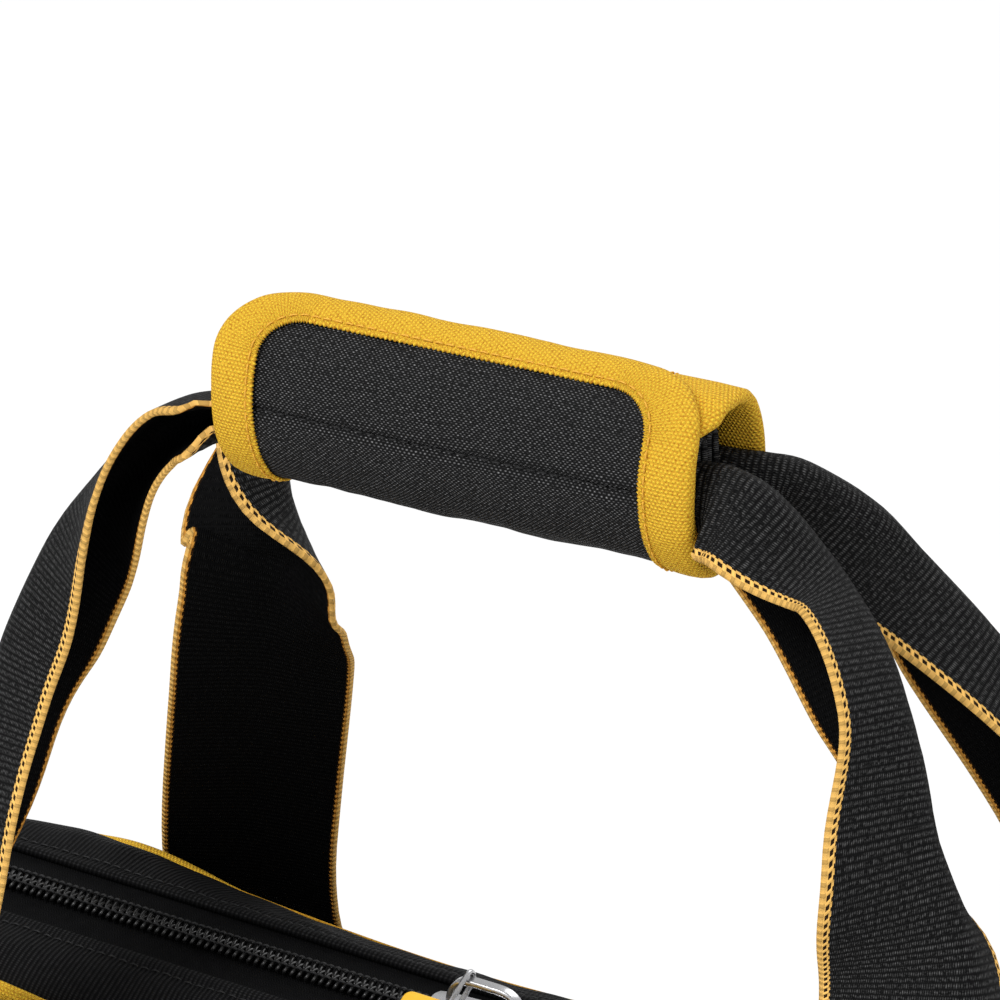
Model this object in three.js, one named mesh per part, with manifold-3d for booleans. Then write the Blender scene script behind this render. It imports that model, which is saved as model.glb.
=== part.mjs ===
// A zippered tool bag: a house-shaped fabric bag with sewn outside pockets,
// a coil zipper with two sliders along its top, and two webbing straps
// that are gathered by a padded hand wrap.
// Millimetres, +Z up, X along the zipper, -Y is the front.

import * as THREE from 'three';
import Module from 'manifold-3d';
import { mergeVertices } from 'three/addons/utils/BufferGeometryUtils.js';

const wasm = await Module();
wasm.setup();

// General
const GAP = 0.3;                 // clearance between sewn or seated pieces

// Bag body
const BODY_LENGTH = 390;         // over the end panels
const BODY_DEPTH = 200;          // over the long walls
const FOOT_HEIGHT = 5;
const FOOT_RADIUS = 9;
const FOOT_INSET_X = 28;         // foot centre to the body's end
const FOOT_INSET_Y = 26;         // foot centre to the body's long side
const BASE_THICKNESS = 3;
const BOARD_THICKNESS = 3;
const BOARD_MARGIN = 4;          // base board's edge to the inner wall faces
const PANEL = 3;                 // padded wall panels
const SIDE_HEIGHT = 150;         // where the long walls bend inwards
const SEAM_HEIGHT = 238;         // bound seams beside the top bands
const SEAM_OFFSET = 37.4;        // bound seam to the zipper's centre line
const END_TRIM_WIDTH = 8;        // binding round each end panel
const END_TRIM = 1.6;

// Zipper
const ZIP_TOP = 250;             // top of the closed coil
const COIL_HEIGHT = 2.6;
const COIL_HALF_WIDTH = 3.4;
const COIL_INNER = 1.3;          // coil's inner edge to the centre line
const TAPE = 0.8;
const TAPE_HALF_WIDTH = 13.4;
const BAND = 2;                  // top band fabric
const BAND_EDGE_RISE = 1.1;      // folded band edge above the tape
const PIPING_WIDTH = 4;
const PIPING = 1.8;
const END_TAB_LENGTH = 9;
const END_TAB_WIDTH = 16;
const END_TAB = 1.5;

// Sliders
const SLIDER_LENGTH = 32;
const SLIDER_HALF_WIDTH = 5.6;
const SLIDER_PLATE = 1.6;
const SLIDER_FLANGE = 1.6;
const SLIDER_NECK = 1.8;
const SLIDER_REST_GAP = 2.4;     // between the two sliders when the bag is closed
const BAIL_SPAN = 22;            // over the bail's two posts
const BAIL_POST = 2;
const BAIL_WIDTH = 3.2;
const BAIL_CLEAR = 7.4;          // height of the opening under the bail bar
const BAIL_BAR = 0.9;            // bar radius
const LINK_WIRE = 1.5;
const LINK_HOLE = 1.5;           // half width of the slot in the link
const LINK_REACH = 9;
const LINK_SHIFT = 5;            // link to the slider's middle, towards the bag's end
const PULL_WIDTH = 16;
const PULL_SHIFT = 5;            // tab's middle to the link, towards the bag's end
const PULL_LENGTH = 32;
const PULL = 3;
const PULL_DROP = 24;            // degrees that the pull hangs below level

// Pockets
const POCKET_DEPTH = 24;
const END_POCKET_DEPTH = 20;
const POCKET_WALL = 2;
const POCKET_BOTTOM = 12;
const CENTRE_POCKET_TOP = 130;
const SIDE_POCKET_TOP = 120;
const END_POCKET_TOP = 125;
const END_POCKET_WIDTH = 120;
const POCKET_SPACE = 3;          // pocket edge to the strap beside it

// Straps
const STRAP_WIDTH = 45;
const STRAP = 2;
const STRAP_X = 140;             // strap centre on the bag
const CREASE = 4;                // softness of the fold down a strap's middle
const LEG_STEPS = 3;             // sections between two route points
const LEG_STRIPS = 8;
const GRIP_LAYERS = 4.6;
const GRIP_HEIGHT = 22;

// Hand wrap
const WRAP_LENGTH = 121;
const WRAP_X = -8.5;
const WRAP_Y = -20;
const WRAP_Z = 422.7;
const WRAP_TILT = 2;             // degrees, right end up
const WRAP_HALF_DEPTH = 17.5;
const WRAP_HALF_HEIGHT = 23.8;
const WRAP_PANEL = 2;
const TRIM = 1;                  // binding on the wrap
const TRIM_WIDTH = 12;
const GRIP_TAPE = 1;             // hook and loop strips
const TAPE_ARC = 30;             // degrees round the wrap covered by a strip
const TAPE_START = 48;
const FLAP_LOW = -84;            // degrees, front of the wrap is 0, its top 90
const FLAP_END = 96;
const INNER_END = 34;
const SLEEVE_LOW = 269;
const SLEEVE_STEP = 152;         // above this angle the sleeve dips under the flap

const rad = (degrees) => degrees * Math.PI / 180;

const bag = new THREE.Group();
const addMesh = (parent, name, geometry, colour, roughness, metalness = 0) => {
  const material = new THREE.MeshStandardMaterial({ color: colour, roughness, metalness });
  const mesh = new THREE.Mesh(geometry, material);
  mesh.name = name;
  parent.add(mesh);
  return mesh;
};

// Colours of the real materials
const CANVAS = 0x26262a;
const WEBBING = 0x17171a;
const YELLOW = 0xf4b82e;
const TAPE_BLACK = 0x1b1b1e;
const METAL = 0xb4b6ba;
const RUBBER = 0x141414;
const BOARD = 0x2b2b2b;

// A box from its low corner to its high corner
const boxBetween = (low, high) => {
  const size = high.map((value, i) => value - low[i]);
  const geometry = new THREE.BoxGeometry(size[0], size[1], size[2]);
  geometry.translate(low[0] + size[0] / 2, low[1] + size[1] / 2, low[2] + size[2] / 2);
  return geometry;
};

// A profile of [y, z] points drawn out along X
const profileAlongX = (points, x0, x1) => {
  const shape = new THREE.Shape(points.map(([y, z]) => new THREE.Vector2(y, z)));
  const geometry = new THREE.ExtrudeGeometry(shape, { depth: x1 - x0, bevelEnabled: false });
  const turn = new THREE.Matrix4().makeBasis(
    new THREE.Vector3(0, 1, 0),
    new THREE.Vector3(0, 0, 1),
    new THREE.Vector3(1, 0, 0),
  );
  geometry.applyMatrix4(turn);
  geometry.translate(x0, 0, 0);
  return geometry;
};

const mirrorProfile = (points) => points.map(([y, z]) => [-y, z]).reverse();

// Solids for joins and cuts
const toSolid = (geometry) => {
  const bare = geometry.clone();
  bare.deleteAttribute('normal');
  bare.deleteAttribute('uv');
  const merged = mergeVertices(bare, 1e-4);
  return new wasm.Manifold(new wasm.Mesh({
    numProp: 3,
    vertProperties: new Float32Array(merged.attributes.position.array),
    triVerts: new Uint32Array(merged.index.array),
  }));
};

const toGeometry = (solid) => {
  const mesh = solid.getMesh();
  const geometry = new THREE.BufferGeometry();
  geometry.setAttribute('position', new THREE.BufferAttribute(new Float32Array(mesh.vertProperties), 3));
  geometry.setIndex(new THREE.BufferAttribute(new Uint32Array(mesh.triVerts), 1));
  return geometry;
};

const join = (...geometries) => {
  const solids = geometries.map(toSolid);
  return toGeometry(solids.reduce((whole, piece) => whole.add(piece)));
};

const cut = (geometry, ...tools) => {
  let solid = toSolid(geometry);
  for (const tool of tools) {
    solid = solid.subtract(toSolid(tool));
  }
  return toGeometry(solid);
};

// A closed slab between two grids of points, rows by columns
const slab = (upper, lower) => {
  const rows = upper.length;
  const columns = upper[0].length;
  const points = [];
  for (const grid of [upper, lower]) {
    for (const row of grid) {
      for (const point of row) {
        points.push(point.x, point.y, point.z);
      }
    }
  }
  const index = [];
  const at = (side, i, j) => side * rows * columns + i * columns + j;
  const quad = (a, b, c, d) => index.push(a, b, c, a, c, d);
  for (let i = 0; i < rows - 1; i += 1) {
    for (let j = 0; j < columns - 1; j += 1) {
      quad(at(0, i, j), at(0, i + 1, j), at(0, i + 1, j + 1), at(0, i, j + 1));
      quad(at(1, i, j), at(1, i, j + 1), at(1, i + 1, j + 1), at(1, i + 1, j));
    }
    quad(at(0, i, 0), at(1, i, 0), at(1, i + 1, 0), at(0, i + 1, 0));
    const last = columns - 1;
    quad(at(0, i, last), at(0, i + 1, last), at(1, i + 1, last), at(1, i, last));
  }
  for (let j = 0; j < columns - 1; j += 1) {
    quad(at(0, 0, j), at(0, 0, j + 1), at(1, 0, j + 1), at(1, 0, j));
    const last = rows - 1;
    quad(at(0, last, j), at(1, last, j), at(1, last, j + 1), at(0, last, j + 1));
  }
  const geometry = new THREE.BufferGeometry();
  geometry.setAttribute('position', new THREE.Float32BufferAttribute(points, 3));
  geometry.setIndex(index);
  return geometry;
};

// Heights and edges that several pieces share
const baseLow = FOOT_HEIGHT + GAP;
const wallLow = baseLow + BASE_THICKNESS + GAP;
const halfLength = BODY_LENGTH / 2;
const halfDepth = BODY_DEPTH / 2;
const innerEnd = halfLength - PANEL - GAP;
const tapeTop = ZIP_TOP - COIL_HEIGHT - GAP;
const tapeLow = tapeTop - TAPE;
const bandTop = tapeTop + BAND_EDGE_RISE;
const bandEdge = TAPE_HALF_WIDTH + GAP;

// Base and feet
const makeBase = () => {
  const base = boxBetween([-halfLength, -halfDepth, baseLow], [halfLength, halfDepth, baseLow + BASE_THICKNESS]);
  addMesh(bag, 'base_panel', base, CANVAS, 0.9);

  const boardX = innerEnd - BOARD_MARGIN;
  const boardY = halfDepth - PANEL - BOARD_MARGIN;
  const board = boxBetween([-boardX, -boardY, wallLow], [boardX, boardY, wallLow + BOARD_THICKNESS]);
  addMesh(bag, 'base_board', board, BOARD, 0.7);

  for (const [side, sx] of [['left', -1], ['right', 1]]) {
    for (const [face, sy] of [['front', -1], ['rear', 1]]) {
      const foot = new THREE.CylinderGeometry(FOOT_RADIUS * 0.85, FOOT_RADIUS * 0.7, FOOT_HEIGHT, 20);
      foot.rotateX(Math.PI / 2);
      foot.translate(
        sx * (halfLength - FOOT_INSET_X),
        sy * (halfDepth - FOOT_INSET_Y),
        FOOT_HEIGHT / 2,
      );
      addMesh(bag, `foot_${face}_${side}`, foot, RUBBER, 0.6);
    }
  }
};

// Long walls and the slopes above them, mitred where they meet
const slopeRun = new THREE.Vector2(halfDepth - SEAM_OFFSET, SEAM_HEIGHT - SIDE_HEIGHT).normalize();
const bandRun = new THREE.Vector2(SEAM_OFFSET - bandEdge, bandTop - SEAM_HEIGHT).normalize();

// Inner corner of two sheets that meet at a bend, each of its own thickness
const innerCorner = (corner, runA, thickA, runB, thickB) => {
  const inA = [runA.y * thickA, -runA.x * thickA];
  const inB = [runB.y * thickB, -runB.x * thickB];
  const cross = runA.x * runB.y - runA.y * runB.x;
  const dy = inB[0] - inA[0];
  const dz = inB[1] - inA[1];
  const along = (dy * runB.y - dz * runB.x) / cross;
  return [corner[0] + inA[0] + runA.x * along, corner[1] + inA[1] + runA.y * along];
};

const wallRun = new THREE.Vector2(0, 1);
const bend = [-halfDepth, SIDE_HEIGHT];
const seam = [-SEAM_OFFSET, SEAM_HEIGHT];
const bendInner = innerCorner(bend, wallRun, PANEL, slopeRun, PANEL);
const seamInner = innerCorner(seam, slopeRun, PANEL, bandRun, BAND);
const shift = (point, run, distance) => [point[0] + run.x * distance, point[1] + run.y * distance];

const wallProfile = [
  [-halfDepth, wallLow],
  [-halfDepth + PANEL, wallLow],
  shift(bendInner, wallRun, -GAP),
  shift(bend, wallRun, -GAP),
];
const slopeProfile = [bend, bendInner, shift(seamInner, slopeRun, -GAP), shift(seam, slopeRun, -GAP)];
const bandProfile = [
  seam,
  seamInner,
  [-bandEdge, bandTop - BAND / bandRun.x],
  [-bandEdge, bandTop],
];

const makeWalls = () => {
  for (const [face, mirror] of [['front', false], ['rear', true]]) {
    const turned = (profile) => (mirror ? mirrorProfile(profile) : profile);
    const wall = profileAlongX(turned(wallProfile), -innerEnd, innerEnd);
    addMesh(bag, `${face}_wall`, wall, CANVAS, 0.9);
    const slope = profileAlongX(turned(slopeProfile), -innerEnd, innerEnd);
    addMesh(bag, `${face}_slope`, slope, CANVAS, 0.9);
    const band = profileAlongX(turned(bandProfile), -innerEnd, innerEnd);
    addMesh(bag, `top_band_${face}`, band, CANVAS, 0.85);
  }
};

// End panels of the full house shape, each with its bound edge
const houseOutline = (inset) => [
  [-halfDepth + inset, wallLow],
  [-halfDepth + inset, SIDE_HEIGHT - inset * 0.4],
  [-SEAM_OFFSET + inset * 0.6, SEAM_HEIGHT - inset * 0.9],
  [-bandEdge, bandTop - inset],
  [bandEdge, bandTop - inset],
  [SEAM_OFFSET - inset * 0.6, SEAM_HEIGHT - inset * 0.9],
  [halfDepth - inset, SIDE_HEIGHT - inset * 0.4],
  [halfDepth - inset, wallLow],
];

const makeEnds = () => {
  const trimOutline = [...houseOutline(0), ...houseOutline(END_TRIM_WIDTH).reverse()];
  for (const [side, sign] of [['left', -1], ['right', 1]]) {
    const inner = sign * (halfLength - PANEL);
    const outer = sign * halfLength;
    const panel = profileAlongX(houseOutline(0), Math.min(inner, outer), Math.max(inner, outer));
    addMesh(bag, `${side}_end`, panel, CANVAS, 0.9);
    const near = sign * (halfLength + GAP);
    const far = sign * (halfLength + GAP + END_TRIM);
    const trim = profileAlongX(trimOutline, Math.min(near, far), Math.max(near, far));
    addMesh(bag, `end_binding_${side}`, trim, YELLOW, 0.8);
  }
};

// Piping along the two seams, standing on the seam between slope and band
const makePiping = () => {
  const out = new THREE.Vector2(-slopeRun.y - bandRun.y, slopeRun.x + bandRun.x).normalize();
  const along = new THREE.Vector2(out.y, -out.x);
  const foot = [seam[0] + out.x * GAP * 2, seam[1] + out.y * GAP * 2];
  const half = PIPING / 2;
  const profile = [
    [foot[0] - along.x * half, foot[1] - along.y * half],
    [foot[0] + along.x * half, foot[1] + along.y * half],
    [foot[0] + along.x * half + out.x * PIPING_WIDTH, foot[1] + along.y * half + out.y * PIPING_WIDTH],
    [foot[0] - along.x * half + out.x * PIPING_WIDTH, foot[1] - along.y * half + out.y * PIPING_WIDTH],
  ];
  addMesh(bag, 'top_binding_front', profileAlongX(profile, -innerEnd, innerEnd), YELLOW, 0.8);
  addMesh(bag, 'top_binding_rear', profileAlongX(mirrorProfile(profile), -innerEnd, innerEnd), YELLOW, 0.8);
};

// Zipper tapes, coil halves and the tab over each end
const makeZipper = () => {
  const chamfer = COIL_HEIGHT * 0.3;
  const coilLow = ZIP_TOP - COIL_HEIGHT;
  const coilProfile = [
    [-COIL_HALF_WIDTH, coilLow],
    [-COIL_INNER, coilLow],
    [-COIL_INNER, ZIP_TOP],
    [-COIL_HALF_WIDTH + chamfer, ZIP_TOP],
    [-COIL_HALF_WIDTH, ZIP_TOP - chamfer],
  ];
  const tapeProfile = [
    [-TAPE_HALF_WIDTH, tapeLow],
    [-COIL_INNER, tapeLow],
    [-COIL_INNER, tapeTop],
    [-TAPE_HALF_WIDTH, tapeTop],
  ];
  for (const [face, mirror] of [['front', false], ['rear', true]]) {
    const turned = (profile) => (mirror ? mirrorProfile(profile) : profile);
    addMesh(bag, `zipper_tape_${face}`, profileAlongX(turned(tapeProfile), -innerEnd, innerEnd), TAPE_BLACK, 0.8);
    addMesh(bag, `zipper_coil_${face}`, profileAlongX(turned(coilProfile), -innerEnd, innerEnd), TAPE_BLACK, 0.4);
  }
  const tabLow = ZIP_TOP + GAP;
  for (const [side, sign] of [['left', -1], ['right', 1]]) {
    const a = sign * innerEnd;
    const b = sign * (innerEnd - END_TAB_LENGTH);
    const tab = boxBetween(
      [Math.min(a, b), -END_TAB_WIDTH / 2, tabLow],
      [Math.max(a, b), END_TAB_WIDTH / 2, tabLow + END_TAB],
    );
    addMesh(bag, `zipper_end_tab_${side}`, tab, CANVAS, 0.9);
  }
};

// Sliders: two plates joined by a neck, with flanges beside the coil
// and a bail for the pull
const plateLow = ZIP_TOP + GAP;
const plateTop = plateLow + SLIDER_PLATE;
const barHeight = plateTop + BAIL_CLEAR + BAIL_BAR;

const makeSliderBody = () => {
  const half = SLIDER_LENGTH / 2;
  const lowTop = tapeLow - GAP;
  const flangeLow = tapeTop + GAP;
  const upper = boxBetween([-half, -SLIDER_HALF_WIDTH, plateLow], [half, SLIDER_HALF_WIDTH, plateTop]);
  const lower = boxBetween([-half, -SLIDER_HALF_WIDTH, lowTop - SLIDER_PLATE], [half, SLIDER_HALF_WIDTH, lowTop]);
  const neck = boxBetween([-half * 0.4, -SLIDER_NECK / 2, lowTop - 0.2], [half * 0.4, SLIDER_NECK / 2, plateLow + 0.2]);
  const pieces = [upper, lower, neck];
  for (const sign of [-1, 1]) {
    const inner = sign * (SLIDER_HALF_WIDTH - SLIDER_FLANGE);
    const outer = sign * SLIDER_HALF_WIDTH;
    pieces.push(boxBetween(
      [-half, Math.min(inner, outer), flangeLow],
      [half, Math.max(inner, outer), plateLow + 0.2],
    ));
    const postOuter = sign * BAIL_SPAN / 2;
    const postInner = sign * (BAIL_SPAN / 2 - BAIL_POST);
    pieces.push(boxBetween(
      [Math.min(postInner, postOuter), -BAIL_WIDTH / 2, plateTop - 0.2],
      [Math.max(postInner, postOuter), BAIL_WIDTH / 2, barHeight + BAIL_BAR],
    ));
  }
  const bar = new THREE.CylinderGeometry(BAIL_BAR, BAIL_BAR, BAIL_SPAN - BAIL_POST, 12);
  bar.rotateZ(Math.PI / 2);
  bar.translate(0, 0, barHeight);
  pieces.push(bar);
  return join(...pieces);
};

// A link round the bail bar, in the plane across the bar, reaching along +X here
const makeLink = () => {
  const stadium = (radius) => {
    const shape = new THREE.Shape();
    shape.absarc(LINK_REACH, 0, radius, -Math.PI / 2, Math.PI / 2, false);
    shape.absarc(0, 0, radius, Math.PI / 2, Math.PI * 1.5, false);
    shape.closePath();
    return shape;
  };
  const shape = stadium(LINK_HOLE + LINK_WIRE);
  shape.holes.push(stadium(LINK_HOLE));
  const geometry = new THREE.ExtrudeGeometry(shape, { depth: LINK_WIRE, bevelEnabled: false, curveSegments: 8 });
  geometry.translate(0, 0, -LINK_WIRE / 2);
  return geometry;
};

// The pull tab: a flat tab with a notch round the link's end and a pin through it
const makePull = (side) => {
  const start = LINK_REACH - LINK_HOLE + 0.2;
  const pinRadius = LINK_HOLE * 0.55;
  const middle = side * PULL_SHIFT;
  const body = boxBetween(
    [start, -PULL / 2, middle - PULL_WIDTH / 2],
    [start + PULL_LENGTH, PULL / 2, middle + PULL_WIDTH / 2],
  );
  const notchHalf = LINK_WIRE / 2 + GAP;
  const notchEnd = LINK_REACH + LINK_HOLE + LINK_WIRE + GAP;
  const notch = boxBetween([start - 1, -PULL, -notchHalf], [notchEnd, PULL, notchHalf]);
  const pin = new THREE.CylinderGeometry(pinRadius, pinRadius, notchHalf * 2 + 2, 12);
  pin.rotateX(Math.PI / 2);
  pin.translate(LINK_REACH + LINK_HOLE - pinRadius - GAP, 0, 0);
  return join(cut(body, notch), pin);
};

const sliderRest = SLIDER_REST_GAP / 2 + SLIDER_LENGTH / 2;

const makeSliders = () => {
  for (const [side, sign] of [['left', -1], ['right', 1]]) {
    const slider = new THREE.Group();
    slider.position.x = sign * sliderRest;
    bag.add(slider);
    addMesh(slider, `slider_${side}`, makeSliderBody(), METAL, 0.3, 1);

    const hang = new THREE.Group();
    hang.position.set(sign * LINK_SHIFT, 0, barHeight);
    const forward = new THREE.Vector3(0, -Math.cos(rad(PULL_DROP)), -Math.sin(rad(PULL_DROP)));
    const across = new THREE.Vector3(1, 0, 0);
    const up = new THREE.Vector3().crossVectors(across, forward);
    hang.quaternion.setFromRotationMatrix(new THREE.Matrix4().makeBasis(forward, up, across));
    slider.add(hang);
    addMesh(hang, `pull_link_${side}`, makeLink(), METAL, 0.3, 1);
    addMesh(hang, `pull_tab_${side}`, makePull(sign), YELLOW, 0.7);
  }
};

// Outside pockets: open-topped trays sewn to the walls
const pocketTray = (width, depth, low, high) => {
  const half = width / 2;
  const outer = boxBetween([-half, -depth, low], [half, 0, high]);
  const inner = boxBetween(
    [-half + POCKET_WALL, -depth + POCKET_WALL, low + POCKET_WALL],
    [half - POCKET_WALL, 1, high + 1],
  );
  return cut(outer, inner);
};

const strapHalf = STRAP_WIDTH / 2;
const centreWidth = 2 * (STRAP_X - strapHalf - POCKET_SPACE);
const sideInner = STRAP_X + strapHalf + POCKET_SPACE;
const sideWidth = halfLength - sideInner;

const makePockets = () => {
  for (const [face, turn] of [['front', 0], ['rear', Math.PI]]) {
    const wallSide = new THREE.Group();
    wallSide.rotation.z = turn;
    bag.add(wallSide);
    const stand = -halfDepth - GAP;
    const centre = pocketTray(centreWidth, POCKET_DEPTH, POCKET_BOTTOM, CENTRE_POCKET_TOP);
    addMesh(wallSide, `${face}_pocket_centre`, centre, CANVAS, 0.9).position.y = stand;
    for (const [side, sign] of [['left', -1], ['right', 1]]) {
      const seen = turn === 0 ? sign : -sign;
      const tray = pocketTray(sideWidth, POCKET_DEPTH, POCKET_BOTTOM, SIDE_POCKET_TOP);
      const mesh = addMesh(wallSide, `${face}_pocket_${side}`, tray, CANVAS, 0.9);
      mesh.position.set(seen * (sideInner + sideWidth / 2), stand, 0);
    }
  }
  for (const [side, turn] of [['left', -Math.PI / 2], ['right', Math.PI / 2]]) {
    const endSide = new THREE.Group();
    endSide.rotation.z = turn;
    bag.add(endSide);
    const tray = pocketTray(END_POCKET_WIDTH, END_POCKET_DEPTH, POCKET_BOTTOM, END_POCKET_TOP);
    addMesh(endSide, `end_pocket_${side}`, tray, CANVAS, 0.9).position.y = -halfLength - GAP;
  }
};

// Webbing sewn up the walls, under each strap
const webbingTop = SIDE_HEIGHT - STRAP;
const makeStrapBases = () => {
  for (const [face, sy] of [['front', -1], ['rear', 1]]) {
    for (const [side, sx] of [['left', -1], ['right', 1]]) {
      const near = sy * (halfDepth + GAP);
      const far = sy * (halfDepth + GAP + STRAP);
      const base = boxBetween(
        [sx * STRAP_X - strapHalf, Math.min(near, far), wallLow],
        [sx * STRAP_X + strapHalf, Math.max(near, far), webbingTop],
      );
      addMesh(bag, `strap_base_${face}_${side}`, base, WEBBING, 0.75);
    }
  }
};

// The hand wrap's own frame: X along it, turned up a little at the right end
const wrapFrame = new THREE.Group();
wrapFrame.position.set(WRAP_X, WRAP_Y, WRAP_Z);
wrapFrame.rotation.y = -rad(WRAP_TILT);
wrapFrame.updateMatrixWorld(true);
bag.add(wrapFrame);

const wrapEnd = (sign) => new THREE.Vector3(sign * WRAP_LENGTH / 2, 0, 0).applyMatrix4(wrapFrame.matrixWorld);
const wrapAxis = new THREE.Vector3(1, 0, 0).transformDirection(wrapFrame.matrixWorld);
const strapFoot = (sx, sy) => new THREE.Vector3(
  sx * STRAP_X,
  sy * (halfDepth + GAP + STRAP / 2),
  webbingTop + GAP,
);

// Strap legs. Each route is the strap's fold line: the first points are
// measured from the hand wrap's end, the others from the strap's foot on the
// bag. The second triple points across the strap. The last two numbers are the
// angle that the strap is folded by and the fold's distance from its middle.
const LEGS = {
  front_left: {
    side: -1,
    face: -1,
    open: -1,
    fromWrap: [
      [-0.5, 3.5, -9, 0, 0, 1, 170, 0],
      [-15, 5, -14, -0.5, 0, 0.82, 165, 0],
      [-31, 2, -26, -0.65, -0.3, 0.65, 160, 0],
      [-46, -6, -45, -0.3, -0.75, 0.6, 153, 0],
      [-55, -16, -66, 0.05, -0.93, 0.35, 148, 0],
      [-59, -27, -88, 0.35, -0.9, 0.25, 112, 0],
    ],
    fromFoot: [
      [11, 35, 142, 0.5, -0.85, 0, 80, 0],
      [2, 3, 50, 0.95, -0.2, 0, 20, 0],
      [0, 0, 0, 1, 0, 0, 0, 0],
    ],
  },
  rear_left: {
    side: -1,
    face: 1,
    open: 1,
    fromWrap: [
      [-0.8, 11, 5, 0, 1, 0, 172, 0],
      [-8, 13, 4.5, 0.05, 1, 0, 168, 0],
      [-15, 19, -1, 0.25, 0.95, -0.1, 158, 0],
      [-24, 26, -20, 0.55, 0.8, -0.1, 122, 0],
      [-31, 42, -62, 0.85, 0.5, -0.1, 60, 0],
    ],
    fromFoot: [
      [31, -57, 152, 0.87, 0.49, 0, 15, 0],
      [10, -31, 76, 0.94, 0.34, 0, 20, 0],
      [2, -3, 30, 1, 0.05, 0, 10, 0],
      [0, 0, 0, 1, 0, 0, 0, 0],
    ],
  },
  front_right: {
    side: 1,
    face: -1,
    open: 1,
    fromWrap: [
      [0.7, -4, 3, 0, -0.9, 0.3, 168, 0],
      [8, -4, 2.5, 0.05, -0.87, 0.4, 164, 0],
      [18, -3, -3, 0.15, -0.8, 0.5, 153, 0],
      [34, 0, -20, 0.5, -0.55, 0.7, 120, 0],
      [54, -10, -37, 0.5, -0.65, 0.6, 130, 0],
      [68, -24, -58, 0.3, -0.9, 0.4, 120, -5],
    ],
    fromFoot: [
      [-13, 42, 188, -0.6, -0.75, 0, 80, -10],
      [-9, 26, 140, -0.8, -0.55, 0, 60, -10],
      [0, 3, 50, -1, -0.1, 0, 20, -5],
      [0, 0, 0, -1, 0, 0, 0, 0],
    ],
  },
  rear_right: {
    side: 1,
    face: 1,
    open: -1,
    fromWrap: [
      [0.8, 8, 5, 0, 1, 0, 170, 0],
      [17, 15, 2, -0.05, 0.95, 0.3, 145, 0],
      [33, 30, -16, -0.33, 0.94, -0.07, 130, 0],
      [56, 38, -43, -0.85, 0.45, -0.2, 128, 0],
      [74, 60, -94, -0.95, 0.2, -0.1, 75, 0],
    ],
    fromFoot: [
      [-6, -35, 114, -1, 0.2, 0, 40, 0],
      [0, -3, 40, -1, 0, 0, 10, 0],
      [0, 0, 0, -1, 0, 0, 0, 0],
    ],
  },
};

// A strap's section: how far a point lies across and inwards from the fold,
// and which way it faces there, by its distance from the fold
const foldedSection = (degrees) => {
  const steps = 80;
  const step = STRAP_WIDTH / steps;
  const angleAt = (distance) => rad(degrees) / 2 * Math.tanh(distance / CREASE);
  const table = [[0, 0, 0]];
  let across = 0;
  let inward = 0;
  for (let i = 1; i <= steps; i += 1) {
    const angle = angleAt((i - 0.5) * step);
    across += Math.cos(angle) * step;
    inward += Math.sin(angle) * step;
    table.push([across, inward, angleAt(i * step)]);
  }
  return (distance) => table[Math.round(Math.min(distance, STRAP_WIDTH) / step)];
};

const makeLeg = (name, leg) => {
  const start = wrapEnd(leg.side);
  const foot = strapFoot(leg.side, leg.face);
  const rows = [
    ...leg.fromWrap.map((row) => [start, row]),
    ...leg.fromFoot.map((row) => [foot, row]),
  ];
  const points = rows.map(([from, row]) => new THREE.Vector3(row[0], row[1], row[2]).add(from));
  const acrosses = rows.map(([, row]) => new THREE.Vector3(row[3], row[4], row[5]));
  const folds = rows.map(([, row]) => new THREE.Vector3(row[6], row[7], 0));
  const route = new THREE.CatmullRomCurve3(points, false, 'catmullrom', 0.5);
  const turn = new THREE.CatmullRomCurve3(acrosses, false, 'catmullrom', 0.5);
  const fold = new THREE.CatmullRomCurve3(folds, false, 'catmullrom', 0.5);
  const count = (rows.length - 1) * LEG_STEPS;
  const outer = [];
  const inner = [];
  for (let i = 0; i <= count; i += 1) {
    const t = i / count;
    const centre = route.getPoint(t);
    // the first section is square to the wrap, the last square to the sewn webbing
    let ahead = route.getTangent(t);
    if (i === 0) {
      ahead = wrapAxis.clone().multiplyScalar(leg.side);
    } else if (i === count) {
      ahead = new THREE.Vector3(0, 0, -1);
    }
    const across = turn.getPoint(t);
    across.addScaledVector(ahead, -across.dot(ahead)).normalize();
    const inwards = new THREE.Vector3().crossVectors(ahead, across).multiplyScalar(leg.open);
    const folded = fold.getPoint(t);
    const section = foldedSection(folded.x);
    const outerRow = [];
    const innerRow = [];
    for (let j = 0; j <= LEG_STRIPS; j += 1) {
      const fromFold = STRAP_WIDTH * (j / LEG_STRIPS - 0.5) - folded.y;
      const sign = fromFold < 0 ? -1 : 1;
      const [u, n, angle] = section(Math.abs(fromFold));
      const point = centre.clone().addScaledVector(across, folded.y + sign * u).addScaledVector(inwards, n);
      const normal = inwards.clone().multiplyScalar(Math.cos(angle)).addScaledVector(across, -sign * Math.sin(angle));
      outerRow.push(point.clone().addScaledVector(normal, -STRAP / 2));
      innerRow.push(point.clone().addScaledVector(normal, STRAP / 2));
    }
    outer.push(outerRow);
    inner.push(innerRow);
  }
  const geometry = leg.open > 0 ? slab(inner, outer) : slab(outer, inner);
  addMesh(bag, `strap_leg_${name}`, geometry, WEBBING, 0.75);
};

// Wrap layers: part of an oval tube between two angles, at a depth under the
// wrap's outer face. The depth can change from one edge to the other.
const wrapPoint = (x, degrees, depth) => {
  const a = WRAP_HALF_DEPTH - depth;
  const b = WRAP_HALF_HEIGHT - depth;
  return new THREE.Vector3(x, -a * Math.cos(rad(degrees)), b * Math.sin(rad(degrees)));
};

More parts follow.
